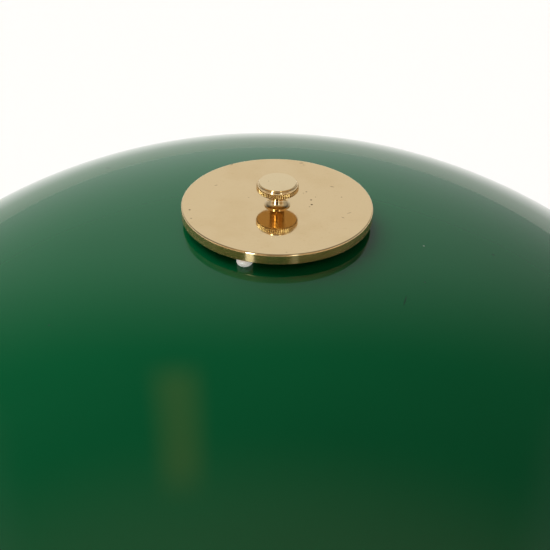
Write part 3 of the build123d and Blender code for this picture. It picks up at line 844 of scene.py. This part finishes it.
class Lathe:
    """Draws a profile of radius and level and turns it about the Z axis."""

    ROUND_STEPS = 4

    def __init__(self, radius: float, level: float) -> None:
        """Starts the profile at a point.

        Args:
            radius: The point's distance from the axis.
            level: The point's level.
        """
        self.mesh = bmesh.new()
        self.start = self.mesh.verts.new((radius * MM, 0.0, level * MM))
        self.tip = self.start
        self.corners: list[tuple[bmesh.types.BMVert, float]] = []

    def to(self, radius: float, level: float, rounding: float = 0.0) -> "Lathe":
        """Draws a straight line.

        Args:
            radius: Where it ends, from the axis.
            level: Where it ends, upwards.
            rounding: How far back from that corner its rounding starts.

        Returns:
            The lathe itself.
        """
        self.tip = bmesh.ops.extrude_vert_indiv(self.mesh, verts=[self.tip])["verts"][0]
        self.tip.co = (radius * MM, 0.0, level * MM)
        if rounding:
            self.corners.append((self.tip, rounding * MM))
        return self

    def arc(self, radius: float, level: float, turn: float, steps: int) -> "Lathe":
        """Draws an arc about a centre.

        Args:
            radius: The centre's distance from the axis.
            level: The centre's level.
            turn: Angle in degrees, positive from outwards to upwards.
            steps: Number of segments.

        Returns:
            The lathe itself.
        """
        spun = bmesh.ops.spin(
            self.mesh, geom=[self.tip], cent=(radius * MM, 0.0, level * MM), axis=Y_AXIS,
            dvec=ORIGIN, angle=-math.radians(turn), steps=steps, use_merge=False,
        )
        last = [item for item in spun["geom_last"] if isinstance(item, bmesh.types.BMVert)]
        self.tip = last[0]
        return self

    def cove(self, radius: float, level: float, steps: int) -> "Lathe":
        """Draws a hollow arc up to a neck, where it ends upright.

        Args:
            radius: The neck's radius.
            level: The neck's level.
            steps: Number of segments.

        Returns:
            The lathe itself.
        """
        across = self.tip.co.x / MM - radius
        rise = level - self.tip.co.z / MM
        hollow = (across**2 + rise**2) / (2 * across)
        turn = -2 * math.degrees(math.atan2(across, rise))
        return self.arc(radius + hollow, level, turn, steps)

    def close(self) -> "Lathe":
        """Joins the profile's end to its start."""
        bmesh.ops.contextual_create(self.mesh, geom=[self.tip, self.start])
        return self

    def turn(self, steps: int) -> bmesh.types.BMesh:
        """Rounds the corners and turns the profile.

        Args:
            steps: Number of segments round the axis.

        Returns:
            The turned solid.
        """
        for corner, setback in self.corners:
            bmesh.ops.bevel(
                self.mesh, geom=[corner], offset=setback, offset_type="OFFSET", affect="VERTICES",
                segments=self.ROUND_STEPS, profile=0.5, material=-1,
            )
        bmesh.ops.spin(
            self.mesh, geom=self.mesh.verts[:] + self.mesh.edges[:], cent=ORIGIN, axis=Z_AXIS,
            dvec=ORIGIN, angle=math.tau, steps=steps, use_merge=True,
        )
        return solid(self.mesh)


class RingStack:
    """A solid grown ring by ring along Z, each ring round or cut into teeth."""

    POINTS_PER_TOOTH = 12

    def __init__(self, teeth: int, radius: float, level: float) -> None:
        """Starts from a closed disc.

        Args:
            teeth: Number of teeth round a toothed ring.
            radius: The disc's radius.
            level: The disc's level.
        """
        self.mesh = bmesh.new()
        self.points = teeth * self.POINTS_PER_TOOTH
        made = bmesh.ops.create_circle(
            self.mesh, cap_ends=True, segments=self.points, radius=radius * MM
        )
        bmesh.ops.translate(self.mesh, vec=(0.0, 0.0, level * MM), verts=made["verts"])
        self.edges = self.mesh.edges[:]
        self.radius = radius
        self.tooth = 0.0
        self.level = level

    def _phase(self, vert: bmesh.types.BMVert) -> int:
        """Which point of its tooth a vertex is."""
        step = math.atan2(vert.co.y, vert.co.x) / math.tau * self.points
        return round(step) % self.POINTS_PER_TOOTH

    def ring(self, radius: float, level: float, tooth: float = 0.0) -> "RingStack":
        """Grows the next ring.

        Args:
            radius: Its radius, over the teeth.
            level: Its level.
            tooth: Depth of its teeth.

        Returns:
            The stack itself.
        """
        grown = bmesh.ops.extrude_edge_only(self.mesh, edges=self.edges)["geom"]
        verts = [item for item in grown if isinstance(item, bmesh.types.BMVert)]
        edges = [item for item in grown if isinstance(item, bmesh.types.BMEdge)]
        fresh = set(verts)
        self.edges = [edge for edge in edges if fresh.issuperset(edge.verts)]
        rise = (level - self.level) * MM
        bmesh.ops.translate(self.mesh, vec=(0.0, 0.0, rise), verts=verts)
        groups: dict[int, list[bmesh.types.BMVert]] = {}
        for vert in verts:
            groups.setdefault(self._phase(vert), []).append(vert)
        for phase, group in groups.items():
            share = (1 - math.cos(math.tau * phase / self.POINTS_PER_TOOTH)) / 2
            factor = (radius - share * tooth) / (self.radius - share * self.tooth)
            bmesh.ops.scale(self.mesh, vec=(factor, factor, 1.0), verts=group)
        self.radius, self.tooth, self.level = radius, tooth, level
        return self

    def done(self) -> bmesh.types.BMesh:
        """Closes the last ring to a point and returns the solid."""
        self.ring(0.0, self.level)
        return solid(self.mesh)


@dataclass
class ThreadedRod:
    """A rod with a V thread, in millimetres; crest and merge are shares of its pitch."""

    low: float
    high: float
    radius: float
    pitch: float
    depth: float
    steps: int = 28
    crest: Edge = (0.45, 0.55)
    merge: float = 0.02

    def build(self) -> bmesh.types.BMesh:
        """Sweeps one ridge up the rod and cuts both ends flat.

        Returns:
            The rod, closed at both ends.
        """
        start = self.low - self.pitch
        turns = math.ceil((self.high - self.low) / self.pitch) + 2
        ridge = Lathe(self.radius - self.depth, start)
        for share in self.crest:
            ridge.to(self.radius, start + self.pitch * share)
        ridge.to(self.radius - self.depth, start + self.pitch)
        mesh = ridge.mesh
        bmesh.ops.spin(
            mesh, geom=mesh.verts[:] + mesh.edges[:], cent=ORIGIN, axis=Z_AXIS,
            dvec=(0.0, 0.0, self.pitch * MM / self.steps), angle=math.tau * turns,
            steps=self.steps * turns, use_merge=False,
        )
        bmesh.ops.remove_doubles(mesh, verts=mesh.verts, dist=self.pitch * MM * self.merge)
        for level, way in ((self.low, -1.0), (self.high, 1.0)):
            bmesh.ops.bisect_plane(
                mesh, geom=mesh.verts[:] + mesh.edges[:] + mesh.faces[:],
                plane_co=(0.0, 0.0, level * MM), plane_no=(0.0, 0.0, way), clear_outer=True,
            )
        open_edges = [edge for edge in mesh.edges if edge.is_boundary]
        bmesh.ops.holes_fill(mesh, edges=open_edges, sides=0)
        bmesh.ops.recalc_face_normals(mesh, faces=mesh.faces)
        return mesh


@dataclass
class Crown:
    """The cap plate, the knurled finial on its stud and the pads under the plate."""

    workshop: Workshop
    plate_round: float = 0.6
    plate_heel: float = 0.3
    plate_hold: float = 0.02
    plate_steps: int = 256
    heel_steps: int = 6
    round_steps: int = 8
    stud_hole: float = 2.15
    face_radius: float = 6.8
    face_step: float = 0.4
    face_round: float = 0.12
    shoulder_drop: float = 0.92
    shoulder_steps: int = 8
    undercut: float = 0.4
    neck_radius: float = 2.7
    neck_height: float = 3.5
    foot_radius: float = 4.75
    foot_lip: float = 0.34
    foot_round: float = 0.14
    bore_radius: float = 2.05
    bore_depth: float = 2.6
    knurl_height: float = 1.58
    knurl_pitch: float = 0.72
    knurl_depth: float = 0.26
    flare_steps: int = 10
    stud_pitch: float = 0.7
    stud_depth: float = 0.38
    pad_radius: float = 2.2
    pad_inset: float = 0.3
    pad_bulge: float = 0.7
    pad_azimuth: float = 250.4
    pad_count: int = 3
    pad_round_steps: int = 12
    pad_steps: int = 48

    def build(self) -> None:
        """Makes every piece of the crown."""
        self.plate()
        self.finial()
        self.stud()
        self.pads()

    def plate(self) -> None:
        """The flat plate with softened edges."""
        low, high = span("cap_disc")
        edge, hold = high.x, self.plate_hold
        heel, brow = edge - self.plate_heel, edge - self.plate_round
        heel_level, brow_level = low.z + self.plate_heel, high.z - self.plate_round
        lathe = Lathe(self.stud_hole, low.z).to(heel - hold, low.z).to(heel, low.z)
        lathe.arc(heel, heel_level, QUARTER_TURN, self.heel_steps).to(edge, heel_level + hold)
        lathe.to(edge, brow_level - hold).to(edge, brow_level)
        lathe.arc(brow, brow_level, QUARTER_TURN, self.round_steps).to(brow - hold, high.z)
        mesh = lathe.to(self.stud_hole, high.z).close().turn(self.plate_steps)
        self.workshop.piece("cap_plate", mesh, (CAP_BRASS,), Body.LAMP, "cap_disc")

    def finial(self) -> None:
        """The finial, from its bore and foot up to its face."""
        low, high = span("finial")
        floor, top, head = low.z, high.z, high.x
        knurl_top = top - self.face_step - self.shoulder_drop
        knurl_low = knurl_top - self.knurl_height
        under = knurl_low - self.undercut
        teeth = round(math.tau * head / self.knurl_pitch)
        stack = RingStack(teeth, self.bore_radius, floor + self.bore_depth)
        stack.ring(self.bore_radius, floor).ring(self.foot_radius - self.foot_round, floor)
        stack.ring(self.foot_radius, floor + self.foot_round)
        stack.ring(self.foot_radius, floor + self.foot_lip - self.foot_round)
        self.flare(stack, floor)
        stack.ring(self.neck_radius, under).ring(head - self.undercut, under)
        stack.ring(head, knurl_low, self.knurl_depth).ring(head, knurl_top, self.knurl_depth)
        self.shoulder(stack, knurl_top, head - self.knurl_depth)
        stack.ring(self.face_radius, top - self.face_round)
        stack.ring(self.face_radius - self.face_round, top)
        self.workshop.piece("finial_knob", stack.done(), (FINIAL_BRASS,), Body.FINIAL, "finial")

    def shoulder(self, stack: RingStack, level: float, radius: float) -> None:
        """The round shoulder from the knurl up to the face's step.

        Args:
            stack: The finial so far.
            level: The knurl's top.
            radius: The shoulder's radius there.
        """
        for number in range(self.shoulder_steps + 1):
            angle = math.radians(QUARTER_TURN * number / self.shoulder_steps)
            reach = self.face_radius + (radius - self.face_radius) * math.cos(angle)
            stack.ring(reach, level + self.shoulder_drop * math.sin(angle))

    def flare(self, stack: RingStack, floor: float) -> None:
        """The hollow flare from the foot's lip up to the neck.

        Args:
            stack: The finial so far.
            floor: The foot's level.
        """
        across = self.foot_radius - self.neck_radius
        rise = self.neck_height - self.foot_lip
        hollow = (across**2 + rise**2) / (2 * across)
        sweep = 2 * math.atan2(across, rise)
        for number in range(self.flare_steps + 1):
            angle = sweep * (1 - number / self.flare_steps)
            radius = self.neck_radius + hollow * (1 - math.cos(angle))
            stack.ring(radius, floor + self.neck_height - hollow * math.sin(angle))

    def stud(self) -> None:
        """The stud's thread, which shows when the finial is run up."""
        low, high = span("finial_stud")
        rod = ThreadedRod(low.z, high.z, high.x, self.stud_pitch, self.stud_depth)
        self.workshop.piece("stud_thread", rod.build(), (STEEL,), Body.STUD, "finial_stud")

    def pads(self) -> None:
        """The soft pads, squeezed round between the plate and the glass."""
        low, high = span("cap_bumpers")
        reach = span("cap_disc")[1].x - self.pad_radius - self.pad_inset
        half = (high.z - low.z) / 2
        core = self.pad_radius + self.pad_bulge - half
        mesh = bmesh.new()
        for number in range(self.pad_count):
            lathe = Lathe(0.0, low.z).to(core, low.z)
            lathe.arc(core, low.z + half, HALF_TURN, self.pad_round_steps).to(0.0, high.z)
            part = lathe.turn(self.pad_steps)
            bmesh.ops.translate(part, vec=(reach * MM, 0.0, 0.0), verts=part.verts)
            angle = math.radians(self.pad_azimuth + number * FULL_TURN / self.pad_count)
            turn = Matrix.Rotation(angle, 3, "Z")
            bmesh.ops.rotate(part, cent=ORIGIN, matrix=turn, verts=part.verts)
            join(mesh, part)
        self.workshop.piece("cap_pads", mesh, (PAD_WITH_PAINTED_GLOW,), Body.LAMP, "cap_bumpers")


@dataclass
class Shade:
    """The glass dome with its white lining, and the gaskets at its hole."""

    workshop: Workshop
    curve: DomeCurve = DOME
    shoulder_radius: float = 45.0
    glass: float = 4.0
    hole_radius: float = 17.2
    steps_round: int = 320
    crown_steps: int = 48
    shoulder_steps: int = 20
    rim_steps: int = 12
    gasket_inner: float = 18.2
    gasket_round: float = 0.15
    gasket_steps: int = 128

    def build(self) -> None:
        """Makes the dome and its gaskets."""
        self.dome()
        for node in ("upper_gasket", "lower_gasket"):
            self.gasket(node)

    def dome(self) -> None:
        """The dome: land, crown, shoulder, skirt and rounded rim, outside and inside."""
        low, high = span("shade")
        curve, edge, land = self.curve, high.x, high.z
        floor, lip = land - self.glass, self.glass / 2
        hub = edge - self.shoulder_radius
        run, spread = hub - curve.offset, curve.radius - self.shoulder_radius
        level = curve.centre + math.sqrt(spread**2 - run**2)
        turn = math.degrees(math.acos(run / spread))
        start = math.degrees(math.asin((land - curve.centre) / curve.radius))
        inner_start = math.degrees(math.asin((floor - curve.centre) / (curve.radius - self.glass)))
        lathe = Lathe(self.hole_radius, land).to(curve.land_radius, land)
        lathe.arc(curve.offset, curve.centre, turn - start, self.crown_steps)
        lathe.arc(hub, level, -turn, self.shoulder_steps).to(edge, low.z + lip)
        lathe.arc(edge - lip, low.z + lip, -HALF_TURN, self.rim_steps)
        lathe.to(edge - self.glass, level).arc(hub, level, turn, self.shoulder_steps)
        lathe.arc(curve.offset, curve.centre, inner_start - turn, self.crown_steps)
        mesh = lathe.to(self.hole_radius, floor).close().turn(self.steps_round)
        middle = Vector((0.0, 0.0, level * MM))
        for face in mesh.faces:
            outwards = face.normal.dot(face.calc_center_median() - middle)
            face.material_index = 0 if outwards > 0 else 1
        self.workshop.piece("shade_dome", mesh, (GREEN_GLASS, OPAL), Body.LAMP, "shade")

    def gasket(self, node: str) -> None:
        """A flat rubber ring.

        Args:
            node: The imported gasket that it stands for.
        """
        low, high = span(node)
        lathe = Lathe(self.gasket_inner, low.z).to(high.x, low.z, self.gasket_round)
        lathe.to(high.x, high.z, self.gasket_round).to(self.gasket_inner, high.z).close()
        mesh = lathe.turn(self.gasket_steps)
        self.workshop.piece(f"{node}_ring", mesh, (RUBBER,), Body.LAMP, node)


@dataclass
class Stand:
    """The felt, the column and the riser."""

    workshop: Workshop
    felt_heel: float = 0.5
    felt_brow: float = 0.4
    felt_steps: int = 160
    pipe_hole: float = 5.25
    foot_lip: float = 3.0
    foot_land: float = 1.0
    foot_floor: float = 4.0
    neck_radius: float = 13.5
    slip: float = 0.15
    tube_wall: float = 1.5
    cap_bead: float = 5.0
    cap_neck: float = 10.0
    edge: float = 0.3
    cove_steps: int = 24
    bead_steps: int = 20
    brass_steps: int = 128
    riser_pitch: float = 1.0
    riser_depth: float = 0.55
    riser_steps: int = 36

    def build(self) -> None:
        """Makes every piece of the stand."""
        self.felt()
        self.foot()
        self.tube()
        self.cap()
        self.riser()

    def brass(self, name: str, lathe: Lathe, node: str) -> None:
        """Turns a profile and adds it as a brass piece."""
        self.workshop.piece(name, lathe.turn(self.brass_steps), (BRASS,), Body.LAMP, node)

    def felt(self) -> None:
        """The felt disc under the base."""
        low, high = span("felt_pad")
        lathe = Lathe(0.0, low.z).to(high.x, low.z, self.felt_heel)
        lathe.to(high.x, high.z, self.felt_brow).to(0.0, high.z)
        mesh = lathe.turn(self.felt_steps)
        self.workshop.piece("felt_disc", mesh, (FELT,), Body.LAMP, "felt_pad")

    def foot(self) -> None:
        """The coved foot of the column."""
        low, high = span("column_foot")
        pocket = span("column_tube")[1].x + self.slip
        floor, lip = low.z + self.foot_floor, low.z + self.foot_lip
        lathe = Lathe(self.pipe_hole, low.z).to(high.x, low.z, self.edge)
        lathe.to(high.x, lip, self.edge * 2).to(high.x - self.foot_land, lip)
        lathe.cove(self.neck_radius, high.z - self.edge, self.cove_steps)
        lathe.to(self.neck_radius, high.z, self.edge / 2)
        lathe.to(pocket, high.z).to(pocket, floor).to(self.pipe_hole, floor)
        self.brass("column_foot_cove", lathe.close(), "column_foot")

    def tube(self) -> None:
        """The plain tube of the column."""
        low, high = span("column_tube")
        bore = high.x - self.tube_wall
        lathe = Lathe(bore, low.z).to(high.x, low.z, self.edge)
        lathe.to(high.x, high.z, self.edge).to(bore, high.z)
        self.brass("column_pipe", lathe.close(), "column_tube")

    def cap(self) -> None:
        """The beaded cap on top of the tube."""
        low, high = span("column_cap")
        tube = span("column_tube")[1]
        spigot = tube.x - self.tube_wall - self.slip
        lathe = Lathe(self.pipe_hole, low.z).to(spigot, low.z).to(spigot, tube.z)
        lathe.to(tube.x, tube.z)
        lathe.arc(tube.x, tube.z + self.cap_bead / 2, HALF_TURN, self.bead_steps)
        lathe.to(self.cap_neck, tube.z + self.cap_bead).to(self.cap_neck, high.z, self.edge)
        self.brass("column_bead", lathe.to(self.pipe_hole, high.z).close(), "column_cap")

    def riser(self) -> None:
        """The threaded riser under the shade."""
        low, high = span("riser_stem")
        rod = ThreadedRod(
            low.z, high.z, high.x, self.riser_pitch, self.riser_depth, self.riser_steps
        )
        self.workshop.piece("riser_thread", rod.build(), (STEEL,), Body.LAMP, "riser_stem")


@dataclass
class Pull:
    """One pull chain with its ball."""

    workshop: Workshop
    side: Side
    bead_radius: float = 1.6
    bead_pitch: float = 4.2
    bead_segments: int = 20
    bead_rings: int = 12
    bead_grip: float = 0.9
    link_radius: float = 0.5
    link_segments: int = 12
    neck_length: float = 4.0
    neck_radius: float = 2.5
    neck_round: float = 0.5
    ball_rings: int = 36
    ball_steps: int = 64

    def build(self) -> None:
        """Makes the chain and the ball."""
        self.chain()
        self.ball()

    def chain(self) -> None:
        """Round hollow beads on short links."""
        node = f"pull_chain_{self.side.label}"
        low, high = span(node)
        middle = (low + high) / 2
        count = round((high.z - low.z - 2 * self.bead_radius) / self.bead_pitch) + 1
        link_length = self.bead_pitch - 2 * self.bead_radius * self.bead_grip
        mesh = bmesh.new()
        for number in range(count):
            level = high.z - self.bead_radius - number * self.bead_pitch
            place = Vector((middle.x, middle.y, level))
            bmesh.ops.create_uvsphere(
                mesh, u_segments=self.bead_segments, v_segments=self.bead_rings,
                radius=self.bead_radius * MM, matrix=Matrix.Translation(place * MM),
            )
            if number:
                place.z += self.bead_pitch / 2
                bmesh.ops.create_cone(
                    mesh, cap_ends=True, segments=self.link_segments,
                    radius1=self.link_radius * MM, radius2=self.link_radius * MM,
                    depth=link_length * MM, matrix=Matrix.Translation(place * MM),
                )
        name = f"bead_chain_{self.side.label}"
        self.workshop.piece(name, mesh, (BRASS,), self.side.pull, node)

    def ball(self) -> None:
        """The ball with the neck that grips the last bead."""
        node = f"pull_ball_{self.side.label}"
        low, high = span(node)
        middle = (low + high) / 2
        radius = (high.x - low.x) / 2
        start = math.degrees(math.acos(self.neck_radius / radius))
        lathe = Lathe(0.0, high.z).to(self.neck_radius, high.z, self.neck_round)
        lathe.to(self.neck_radius, high.z - self.neck_length)
        lathe.arc(0.0, low.z + radius, -start - QUARTER_TURN, self.ball_rings)
        mesh = lathe.turn(self.ball_steps)
        bmesh.ops.translate(mesh, vec=(middle.x * MM, middle.y * MM, 0.0), verts=mesh.verts)
        name = f"chain_ball_{self.side.label}"
        self.workshop.piece(name, mesh, (BRASS,), self.side.pull, node)


@dataclass(frozen=True)
class Softbox:
    """A rectangular studio light that faces the crown and shows only in gloss."""

    name: str
    azimuth: float
    elevation: float
    width: float
    height: float
    radiance: float
    colour: Colour = (0.72, 0.91, 1.0)
    distance: float = 1.6

    def build(self, target: Vector) -> None:
        """Places the light.

        Args:
            target: The point that it faces, in metres.
        """
        turn, rise = math.radians(self.azimuth), math.radians(self.elevation)
        across = math.cos(rise)
        way = Vector((math.sin(turn) * across, -math.cos(turn) * across, math.sin(rise)))
        light = bpy.data.lights.new(self.name, "AREA")
        light.shape = "RECTANGLE"
        light.size = self.width
        light.size_y = self.height
        light.energy = self.radiance * math.pi * self.width * self.height
        light.color = self.colour
        lamp = bpy.data.objects.new(self.name, light)
        facing = way.to_track_quat("Z", "Y").to_matrix().to_4x4()
        lamp.matrix_world = Matrix.Translation(target + way * self.distance) @ facing
        lamp.visible_diffuse = False
        bpy.context.scene.collection.objects.link(lamp)


LEFT_BOX = Softbox(
    "softbox_left", azimuth=-29.5, elevation=20.0, width=0.24, height=1.16, radiance=11.0
)
RIGHT_BOX = Softbox(
    "softbox_right", azimuth=21.3, elevation=22.0, width=0.20, height=1.00, radiance=1.6
)


@dataclass
class Studio:
    """Plain soft light, a pale floor and a room that is brightest behind the lamp.

    The room's edges are parts of a direction: to the right, to the back or up.
    """

    target: Vector
    wall: float = 0.616
    wall_curve: float = 0.771
    wall_middle: float = -0.071
    wall_fall: float = 0.132
    wall_edge: float = 0.341
    wall_soft: float = 0.435
    wall_lean: float = 0.068
    ceiling: float = 0.085
    side: float = 0.26
    side_width: Edge = (0.66, 0.82)
    side_back: Edge = (-0.5, -0.2)
    side_top: Edge = (0.70, 0.92)
    front_low: Colour = (0.25, 0.15, 0.05)
    front_high: Colour = (0.36, 0.29, 0.20)
    front_back: Edge = (-0.35, 0.12)
    front_split: Edge = (0.35, 0.55)
    viewer: float = 0.85
    viewer_width: Edge = (0.12, 0.26)
    viewer_top: Edge = (0.58, 0.80)
    glow_middle: float = -0.259
    glow_width: float = 0.105
    glow_near: Edge = (-0.20, 0.0)
    glow_far: Edge = (0.24, 0.40)
    glow_low: Edge = (0.6, 0.8)
    glow_colour: Colour = (0.63, 0.38, 0.03)
    key_way: Point = (-0.470, 0.690, 0.550)
    key_strength: float = 4.85
    key_angle: float = 68.0
    floor_albedo: float = 0.66
    floor_lift: float = 0.24
    floor_white: Edge = (1.3, 2.8)
    floor_radius: float = 40.0
    floor_steps: int = 96

    def build(self) -> None:
        """Makes the world, the lights and the floor."""
        self.room()
        self.key()
        for box in (LEFT_BOX, RIGHT_BOX):
            box.build(self.target)
        self.floor()
        LOG.info("made the studio")

    def room(self) -> None:
        """The room's light by direction: a pale wall, a dim ceiling and a warm front."""
        world = bpy.data.worlds.new("studio_room")
        world.use_nodes = True
        bpy.context.scene.world = world
        graph = Graph(world.node_tree)
        way = graph.node("ShaderNodeTexCoord", output="Generated")
        right, back, up = (graph.axis(way, name) for name in "XYZ")
        wall = self.back_wall(graph, right, back, up)
        flank = graph.step(abs(right), *self.side_width) * graph.step(back, *self.side_back)
        flank = flank * (1.0 - graph.step(up, *self.side_top))
        light = graph.grey(wall + self.ceiling + self.side * flank)
        glow = graph.mix(self.glow(graph, right, back, up), DARK, self.glow_colour)
        ahead = 1.0 - graph.step(back, *self.front_back)
        warm = graph.mix(graph.step(up, *self.front_split), self.front_low, self.front_high)
        light = graph.add(graph.add(light, glow), graph.mix(ahead, DARK, warm))
        viewer = 1.0 - graph.step(abs(right), *self.viewer_width)
        viewer = viewer * (1.0 - graph.step(up, *self.viewer_top)) * ahead
        light = graph.mix(self.viewer * viewer, light, DARK)
        shader = graph.node("ShaderNodeBackground", {}, {"Color": light, "Strength": 1.0})
        graph.node("ShaderNodeOutputWorld", {}, {"Surface": shader})

    def back_wall(self, graph: Graph, right: Value, back: Value, up: Value) -> Value:
        """The pale wall, brightest near its middle.

        Args:
            graph: The world's graph.
            right: The direction's part to the right.
            back: The direction's part to the back.
            up: The direction's part upwards.

        Returns:
            The wall's light.
        """
        offset = right - self.wall_middle
        reach = back - self.wall_lean * abs(offset)
        wall = self.wall - self.wall_curve * (offset * offset) | 0.0
        edge = graph.step(reach, self.wall_edge, self.wall_edge + self.wall_soft)
        return wall * (1.0 - self.wall_fall * up) * edge

    def glow(self, graph: Graph, right: Value, back: Value, up: Value) -> Value:
        """The mask of a dim warm streak overhead, long from front to back.

        Args:
            graph: The world's graph.
            right: The direction's part to the right.
            back: The direction's part to the back.
            up: The direction's part upwards.

        Returns:
            1 in the streak's middle and 0 away from it.
        """
        across = 1.0 - graph.step(abs(right - self.glow_middle), 0.0, self.glow_width)
        along = graph.step(back, *self.glow_near) * (1.0 - graph.step(back, *self.glow_far))
        return across * along * graph.step(up, *self.glow_low)

    def key(self) -> None:
        """The main light: wide, soft and from behind on the left."""
        light = bpy.data.lights.new("key_light", "SUN")
        light.energy = self.key_strength
        light.angle = math.radians(self.key_angle)
        lamp = bpy.data.objects.new("key_light", light)
        lamp.matrix_world = Vector(self.key_way).to_track_quat("Z", "Y").to_matrix().to_4x4()
        lamp.visible_glossy = False
        bpy.context.scene.collection.objects.link(lamp)

    def floor(self) -> None:
        """The pale floor, white near the lamp, which keeps the lamp's shadow."""
        mesh = bmesh.new()
        bmesh.ops.create_circle(
            mesh, cap_ends=True, segments=self.floor_steps, radius=self.floor_radius
        )
        data = bpy.data.meshes.new("studio_floor")
        mesh.to_mesh(data)
        mesh.free()
        data.materials.append(self.floor_material())
        floor = bpy.data.objects.new("studio_floor", data)
        bpy.context.scene.collection.objects.link(floor)

    def floor_material(self) -> bpy.types.Material:
        """The floor's matt white, lifted where it is seen near the lamp.

        Returns:
            The new material.
        """
        material = bpy.data.materials.new("floor_pale")
        material.use_nodes = True
        graph = Graph(material.node_tree)
        rays = ("Is Camera Ray", "Is Glossy Ray", "Is Transmission Ray")
        seen = reduce(or_, [graph.node("ShaderNodeLightPath", output=ray) for ray in rays])
        near = 1.0 - graph.step(graph.length(graph.place()), *self.floor_white)
        albedo = (self.floor_albedo, self.floor_albedo, self.floor_albedo, 1.0)
        matt = graph.node("ShaderNodeBsdfDiffuse", {}, {"Color": albedo})
        lift = {"Color": graph.grey(self.floor_lift * seen * near), "Strength": 1.0}
        bright = graph.node("ShaderNodeEmission", {}, lift)
        shader = graph.node("ShaderNodeAddShader", {}, {0: matt, 1: bright})
        graph.node("ShaderNodeOutputMaterial", {}, {"Surface": shader})
        return material


@dataclass
class CameraRig:
    """The camera of the photograph, aimed by where the middle of the cap shows."""

    target: Vector
    distance: float = 0.545
    elevation: float = 30.06
    roll: float = 1.33
    image_width: float = 550.0
    focal_pixels: float = 1493.8
    target_pixel: tuple[float, float] = (277.2, 204.2)
    sensor: float = 36.0
    clip_start: float = 0.01

    def build(self) -> None:
        """Makes the camera and sets it as the scene's."""
        rise = math.radians(self.elevation)
        back = Vector((0.0, -math.cos(rise), math.sin(rise)))
        middle = self.image_width / 2
        tilt = math.atan2(self.target_pixel[1] - middle, self.focal_pixels)
        pan = math.atan2(self.target_pixel[0] - middle, self.focal_pixels)
        turn = back.to_track_quat("Z", "Y").to_matrix().to_4x4()
        turn = turn @ Matrix.Rotation(math.radians(self.roll), 4, "Z")
        turn = turn @ Matrix.Rotation(tilt, 4, "X") @ Matrix.Rotation(pan, 4, "Y")
        camera = bpy.data.cameras.new("camera")
        camera.sensor_width = self.sensor
        camera.lens = self.sensor * self.focal_pixels / self.image_width
        camera.clip_start = self.clip_start
        rig = bpy.data.objects.new("camera", camera)
        rig.matrix_world = Matrix.Translation(self.target + back * self.distance) @ turn
        bpy.context.scene.collection.objects.link(rig)
        bpy.context.scene.camera = rig
        LOG.info("placed the camera")


def main() -> None:
    """Builds the lamp's looks, the studio and the camera."""
    logging.basicConfig(level=logging.INFO, format="%(message)s")
    bpy.context.scene.view_settings.view_transform = "Standard"
    workshop = Workshop()
    workshop.dress_nodes()
    Crown(workshop).build()
    Shade(workshop).build()
    Stand(workshop).build()
    for side in Side:
        Pull(workshop, side).build()
    crown_top = Vector((0.0, 0.0, CAP_LEVEL * MM))
    Studio(crown_top).build()
    CameraRig(crown_top).build()


if __name__ == "__main__":
    main()
